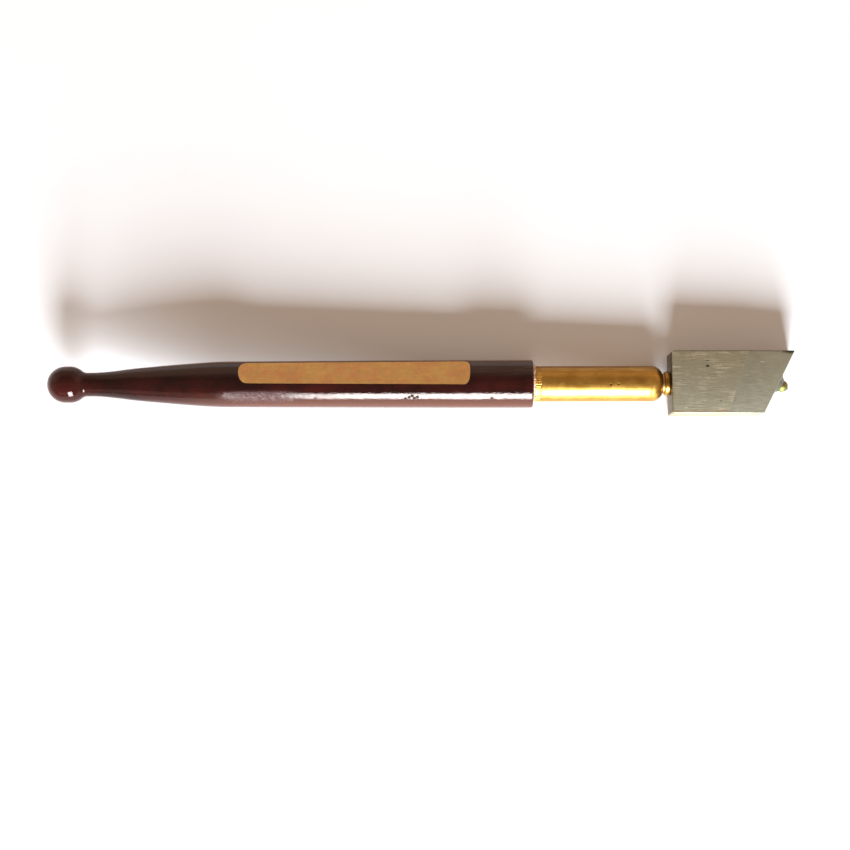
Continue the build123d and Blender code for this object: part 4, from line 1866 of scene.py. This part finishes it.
@dataclass
class Head:
    """The steel guide block, with the diamond in its setting."""

    short_edge: float = 21.8
    bevel_long: float = 18.4
    bevel_short: float = 13.3
    bevel_drop: float = 0.55
    edge_round: float = 0.11
    back_round: float = 0.55
    bore_radius: float = 2.01
    bore_length: float = 9.01
    head_pin_from_block: float = 4.6
    head_pin_end: float = 2.6
    head_pin_bore: float = 0.812
    drill_point: float = 0.6
    overshoot: float = 1.0
    bore_gap: float = 0.012
    half_thickness: float = 4.0
    setting_radius: float = 1.42
    setting_depth: float = 4.5
    setting_height: float = 1.40
    solder_radius: float = 3.1
    solder_height: float = 1.25
    solder_slope: float = 0.62
    solder_curl: float = 2.6
    stone_half_width: float = 0.66
    stone_out: float = 0.25
    back: float = field(init=False)
    tip: float = field(init=False)
    half_width: float = field(init=False)

    def __post_init__(self) -> None:
        """Takes the block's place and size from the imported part."""
        low, high = box_sizes("head_block")
        self.back, self.tip, self.half_width = low.x, high.x, high.y

    @property
    def end_lean(self) -> float:
        """The slant of the end face, in radians."""
        return math.atan((self.tip - self.back - self.short_edge) / (2 * self.half_width))

    @property
    def end_frame(self) -> Matrix:
        """Places a piece turned about X on the diamond's axis, in millimetres."""
        centre = Vector(((self.back + self.short_edge + self.tip) / 2, 0.0, 0.0))
        return Matrix.Translation(centre) @ Matrix.Rotation(-self.end_lean, 4, "Z")

    @property
    def bevel_skew(self) -> float:
        """The slant of the line where the bevel starts, in radians."""
        return math.atan((self.bevel_long - self.bevel_short) / (2 * self.half_width))

    def bevel_height(self, x: float, y: float) -> float:
        """The bevelled face's height at a point, in millimetres.

        Args:
            x: The point's place along the tool.
            y: Its place across it.

        Returns:
            The height above the tool's axis.
        """
        middle = self.back + (self.bevel_long + self.bevel_short) / 2
        end = (self.back + self.short_edge + self.tip) / 2
        run = (end - middle) * math.cos(self.bevel_skew)
        past = (x - middle) * math.cos(self.bevel_skew) - y * math.sin(self.bevel_skew)
        return self.half_thickness - self.bevel_drop / run * max(past, 0.0)

    def blank(self) -> bmesh.types.BMesh:
        """The block before it is drilled: bevelled at its working end, with sharp edges.

        Returns:
            The mesh in the making.
        """
        wide = self.half_width
        plan = [
            (self.back, -wide),
            (self.back + self.bevel_short, -wide),
            (self.back + self.short_edge, -wide),
            (self.tip, wide),
            (self.back + self.bevel_long, wide),
            (self.back, wide),
        ]
        work = bmesh.new()
        layers = []
        for side in (-1.0, 1.0):
            corners = [Vector((x, y, side * self.bevel_height(x, y))) for x, y in plan]
            layers.append([work.verts.new(corner * MM) for corner in corners])
        for corners, order in ((layers[0], -1), (layers[1], 1)):
            work.faces.new([corners[i] for i in (0, 1, 4, 5)][::order])
            work.faces.new([corners[i] for i in (1, 2, 3, 4)][::order])
        for run in ((0, 1, 2), (2, 3), (3, 4, 5), (5, 0)):
            work.faces.new([layers[0][i] for i in run] + [layers[1][i] for i in reversed(run)])
        bmesh.ops.recalc_face_normals(work, faces=work.faces)
        return work

    def round_edges(self, work: bmesh.types.BMesh) -> None:
        """Rounds the block's two back corners well and its other edges a little.

        Args:
            work: The block's mesh in the making.
        """
        back_edges = [
            edge for edge in work.edges
            if all(abs(v.co.x / MM - self.back) < 1e-4 for v in edge.verts)
            and abs(edge.verts[0].co.y - edge.verts[1].co.y) < 1e-7
        ]
        settings = {"profile": 0.5, "affect": "EDGES"}
        bmesh.ops.bevel(work, geom=back_edges, offset=self.back_round * MM, segments=5, **settings)
        edges = [edge for edge in work.edges if edge.calc_face_angle(0.0) > math.radians(40.0)]
        bmesh.ops.bevel(work, geom=edges, offset=self.edge_round * MM, segments=3, **settings)

    def make_block(self) -> bpy.types.Object:
        """The block, with its edges rounded, drilled for the tenon, the pin and the setting.

        Returns:
            The block.
        """
        work = self.blank()
        self.round_edges(work)
        block = mesh_object("guide_block", work)
        start, bottom = self.back - self.overshoot, self.back + self.bore_length
        point = bottom + self.bore_radius * self.drill_point
        drill = [(start, 0), (start, self.bore_radius), (bottom, self.bore_radius), (point, 0)]
        bore = turned("tenon_drill", drill, segments=64)
        across = self.back + self.head_pin_from_block
        outside = Vector((across, -self.half_width - self.overshoot, 0))
        inside = Vector((across, self.head_pin_end, 0))
        pin = round_bar("pin_drill", outside, inside, self.head_pin_bore)
        place = self.end_frame
        deep, clear = Vector((-self.setting_depth - 0.01, 0, 0)), Vector((2 * self.overshoot, 0, 0))
        width = self.setting_radius + self.bore_gap
        seat = round_bar("seat_drill", place @ deep, place @ clear, width, sides=56)
        cut(block, [bore, pin, seat])
        finish_mesh(block.data, sharp=30.0)
        return block

    def make_setting(self) -> bpy.types.Object:
        """The brass stud that holds the stone, its end hammered over a little.

        Returns:
            The stud.
        """
        place = self.end_frame
        tip = self.setting_height + self.setting_radius
        profile: Profile = [(-self.setting_depth, 0.0), (-self.setting_depth, self.setting_radius)]
        profile += divide(profile[-1], (self.setting_height, self.setting_radius), step=0.5)
        dome = arc((self.setting_height, 0.0), self.setting_radius, 0.0, 90.0, steps=16)
        profile += [p for p in reversed(dome[:-1])]
        profile[-1] = (tip, 0.0)

        def hammered(point: Vector, angle: float) -> Vector:
            """Flattens the dome in small facets, and puts it in its place.

            Args:
                point: A point on the stud, in millimetres.
                angle: Its angle about the stud's axis.

            Returns:
                The moved point.
            """
            if point.x > 0.2:
                where = Vector((point.x * 1.3, math.cos(angle) * 1.6, math.sin(angle) * 1.6))
                share = 1.0 - 0.045 * max(0.0, 0.35 + noise.noise(where))
                point = Vector((point.x - 0.02, point.y * share, point.z * share))
            return place @ point

        stud = turned("stone_setting", profile, 72, move=hammered)
        for vertex in stud.data.vertices:
            if abs(vertex.co.z) < 1e-9 and abs(vertex.co.y) < 1e-9:
                vertex.co = place @ (vertex.co / MM) * MM
        cut(stud, [self.stone_pocket()])
        finish_mesh(stud.data, sharp=35.0)
        return stud

    def stone_pocket(self) -> bpy.types.Object:
        """The eight-sided shape that the stone takes out of its stud.

        Returns:
            The cutter.
        """
        place = self.end_frame
        middle = self.setting_height + self.setting_radius + self.stone_out - self.stone_half_width
        half = self.stone_half_width + self.bore_gap
        work = bmesh.new()
        points = [Vector((middle + half, 0, 0)), Vector((middle - half, 0, 0))]
        points += [Vector((middle, half * y, half * z)) for y, z in ((1, 0), (0, 1), (-1, 0), (0, -1))]
        corners = [work.verts.new((place @ p) * MM) for p in points]
        for end in (0, 1):
            for k in range(4):
                work.faces.new([corners[end], corners[2 + k], corners[2 + (k + 1) % 4]])
        bmesh.ops.recalc_face_normals(work, faces=work.faces)
        return mesh_object("stone_pocket", work)

    def make_solder(self) -> bpy.types.Object:
        """The mound of solder round the setting, uneven as it froze.

        Returns:
            The mound.
        """
        place = self.end_frame
        inner = self.setting_radius + self.bore_gap
        section: Profile = [(0.0, inner), (0.0, self.solder_radius)]
        steps = 18
        for i in range(1, steps + 1):
            t = i / steps
            radius = self.solder_radius + (inner - self.solder_radius) * t
            share = self.solder_slope * t + (1.0 - self.solder_slope) * t**self.solder_curl
            height = self.solder_height * share
            section.append((height, radius))
        section += divide(section[-1], (0.0, inner), step=0.4)[:-1]

        def frozen(point: Vector, angle: float) -> Vector:
            """Swells and dips the mound's outside.

            Args:
                point: A point on the mound, in millimetres.
                angle: Its angle about the stud's axis.

            Returns:
                The moved point.
            """
            radius = math.hypot(point.y, point.z)
            if point.x > 0.01 and radius > inner + 0.01:
                where = Vector((point.x * 0.9, math.cos(angle) * 1.5, math.sin(angle) * 1.5))
                lift = 1.0 + 0.16 * noise.noise(where) + 0.05 * noise.noise(where * 3.3)
                point = Vector((point.x * min(lift, 1.06), point.y, point.z))
            return place @ point

        mound = turned("solder_mound", section, 96, closed=True, move=frozen)
        finish_mesh(mound.data, sharp=40.0)
        return mound

    def build(self) -> None:
        """Makes and finishes the head's pieces."""
        middle = self.back + (self.bevel_long + self.bevel_short) / 2
        top = self.half_thickness
        steel = GroundSteel(
            "ground_steel",
            back_at=self.back,
            side_at=self.half_width,
            bevel_at=middle,
            bevel_skew=self.bevel_skew,
            dents_and_corner_shade=(
                ((68.6, 3.75, top), (1.2, 0.8, 1.0), 0.5),
                ((68.6, 5.05, top), (1.5, 0.42, 1.0), 0.4),
                ((71.6, -4.6, top), (0.8, 0.8, 1.0), 0.28),
                # Partly painted shade: the dark along the far edge by the tip, over a shallow hollow.
                ((89.4, 7.6, top), (3.4, 1.05, 3.0), 1.2),
            ),
            # Painted glints on the top face.
            glints=(((81.7, 4.75, top), (2.2, 0.5, 2.0)), ((63.4, -6.2, top), (1.6, 0.5, 1.0))),
        )
        dress(self.make_block(), steel, Body.HEAD, "head_block")
        stud = Brass(
            "setting_brass",
            bright=(0.30, 0.33, 0.10),
            tarnish=(0.06, 0.06, 0.02),
            tarnish_amount=0.9,
            gloss=0.52,
        )
        dress(self.make_setting(), stud, Body.HEAD, "diamond_setting")
        dress(self.make_solder(), GREY_SOLDER, Body.HEAD, "setting_solder")
        dress_node("head_pin", PIN_STEEL)
        dress_node("diamond", Stone("diamond_point"))


# ------------------------------------------------------------------------------ studio


@dataclass(frozen=True)
class Softbox:
    """A rectangular light, placed by the direction that it shines from."""

    name: str
    bearing: float
    height: float
    width: float
    depth: float
    radiance: float
    colour: Colour
    distance: float = 1200.0

    def build(self) -> None:
        """Makes the light, facing the tool."""
        bearing, height = math.radians(self.bearing), math.radians(self.height)
        level = math.cos(height)
        away = Vector((math.sin(bearing) * level, -math.cos(bearing) * level, math.sin(height)))
        light = bpy.data.lights.new(self.name, "AREA")
        light.shape = "RECTANGLE"
        light.size = 2 * math.tan(math.radians(self.width / 2)) * self.distance * MM
        light.size_y = 2 * math.tan(math.radians(self.depth / 2)) * self.distance * MM
        light.energy = self.radiance * light.size * light.size_y * math.pi
        light.color = self.colour
        lamp = bpy.data.objects.new(self.name, light)
        bpy.context.scene.collection.objects.link(lamp)
        lamp.location = away * self.distance * MM
        lamp.rotation_euler = away.to_track_quat("Z", "Y").to_euler()


@dataclass
class Studio:
    """A pale floor, a window-like softbox low on one side, and the camera above the tool."""

    camera_place: Colour = (4.40, -44.79, 360.31)
    camera_turn: Colour = (5.530, 0.482, -0.034)
    lens: float = 63.93
    floor_half_width: float = 2400.0
    floor_gap: float = 0.01
    softboxes: tuple[Softbox, ...] = (
        Softbox("window", 3.5, 21.0, 21.0, 28.0, 53.0, (0.88, 0.95, 1.0)),
        Softbox("curtain", -22.0, 21.0, 28.0, 24.0, 1.0, (1.0, 0.60, 0.56)),
    )
    surround: Colour = (1.0, 0.735, 0.555)
    surround_even: float = 0.27
    surround_ends: float = 0.42
    surround_wall: float = 0.50
    backdrop: Colour = (0.93, 0.93, 0.94)
    backdrop_strength: float = 0.9

    def make_floor(self) -> None:
        """The sheet that the tool lies on, touching the handle's mouth and the block's bevel line."""
        mouth = box_sizes("handle")[1].x
        grip = -box_sizes("handle")[0].z
        low = box_sizes("head_block")[0]
        touch = low.x + Head.bevel_long
        tilt = math.atan((grip + low.z) / (touch - mouth))
        work = bmesh.new()
        bmesh.ops.create_grid(work, x_segments=8, y_segments=8, size=self.floor_half_width * MM)
        paper = mesh_object("paper", work)
        under_mouth = Vector((mouth, 0.0, -grip - self.floor_gap)) * MM
        paper.data.transform(Matrix.Translation(under_mouth) @ Matrix.Rotation(-tilt, 4, "Y"))
        paper.data.materials.append(Paper("white_paper").material())

    def make_camera(self) -> None:
        """The camera, nearly straight above the tool."""
        data = bpy.data.cameras.new("camera")
        data.lens = self.lens
        data.sensor_width = 36.0
        data.clip_start = 0.01
        camera = bpy.data.objects.new("camera", data)
        bpy.context.scene.collection.objects.link(camera)
        camera.location = Vector(self.camera_place) * MM
        camera.rotation_euler = Euler([math.radians(a) for a in self.camera_turn], "XYZ")
        bpy.context.scene.camera = camera

    def make_surround(self) -> None:
        """The soft warm room, brighter past the tool's two ends and low on the side away from the window."""
        world = bpy.data.worlds.new("room")
        bpy.context.scene.world = world
        world.use_nodes = True
        world.node_tree.nodes.clear()
        graph = Graph(world.node_tree)
        towards = graph.split(graph.add("ShaderNodeTexCoord").outputs["Generated"])
        endwise = graph.times(towards["X"], towards["X"])
        strength = graph.plus(graph.times(endwise, self.surround_ends), self.surround_even)
        wall = graph.times(graph.span(towards["Y"], 0.1, 0.4), graph.span(towards["Z"], 0.72, 0.58))
        strength = graph.plus(strength, graph.times(wall, self.surround_wall))
        room = graph.add("ShaderNodeBackground", {"Color": (*self.surround, 1.0), "Strength": strength})
        backdrop = graph.add("ShaderNodeBackground", {
            "Color": (*self.backdrop, 1.0), "Strength": self.backdrop_strength,
        })
        seen = graph.add("ShaderNodeLightPath").outputs["Is Camera Ray"]
        both = graph.add("ShaderNodeMixShader", {0: seen, 1: room.outputs[0], 2: backdrop.outputs[0]})
        graph.add("ShaderNodeOutputWorld", {"Surface": both.outputs[0]})

    def build(self) -> None:
        """Makes the whole studio."""
        self.make_camera()
        self.make_floor()
        self.make_surround()
        for softbox in self.softboxes:
            softbox.build()
        view = bpy.context.scene.view_settings
        view.view_transform = "Standard"
        view.look = "None"


# ------------------------------------------------------------------------------ all of it


def main() -> None:
    """Builds the studio and the tool's sub-assemblies in order."""
    logging.basicConfig(level=logging.INFO, format="%(message)s")
    Studio().build()
    for assembly in (Handle(), Ferrule(), Swivel(), Head()):
        assembly.build()
        LOG.info("%s done", type(assembly).__name__)


if __name__ == "__main__":
    main()
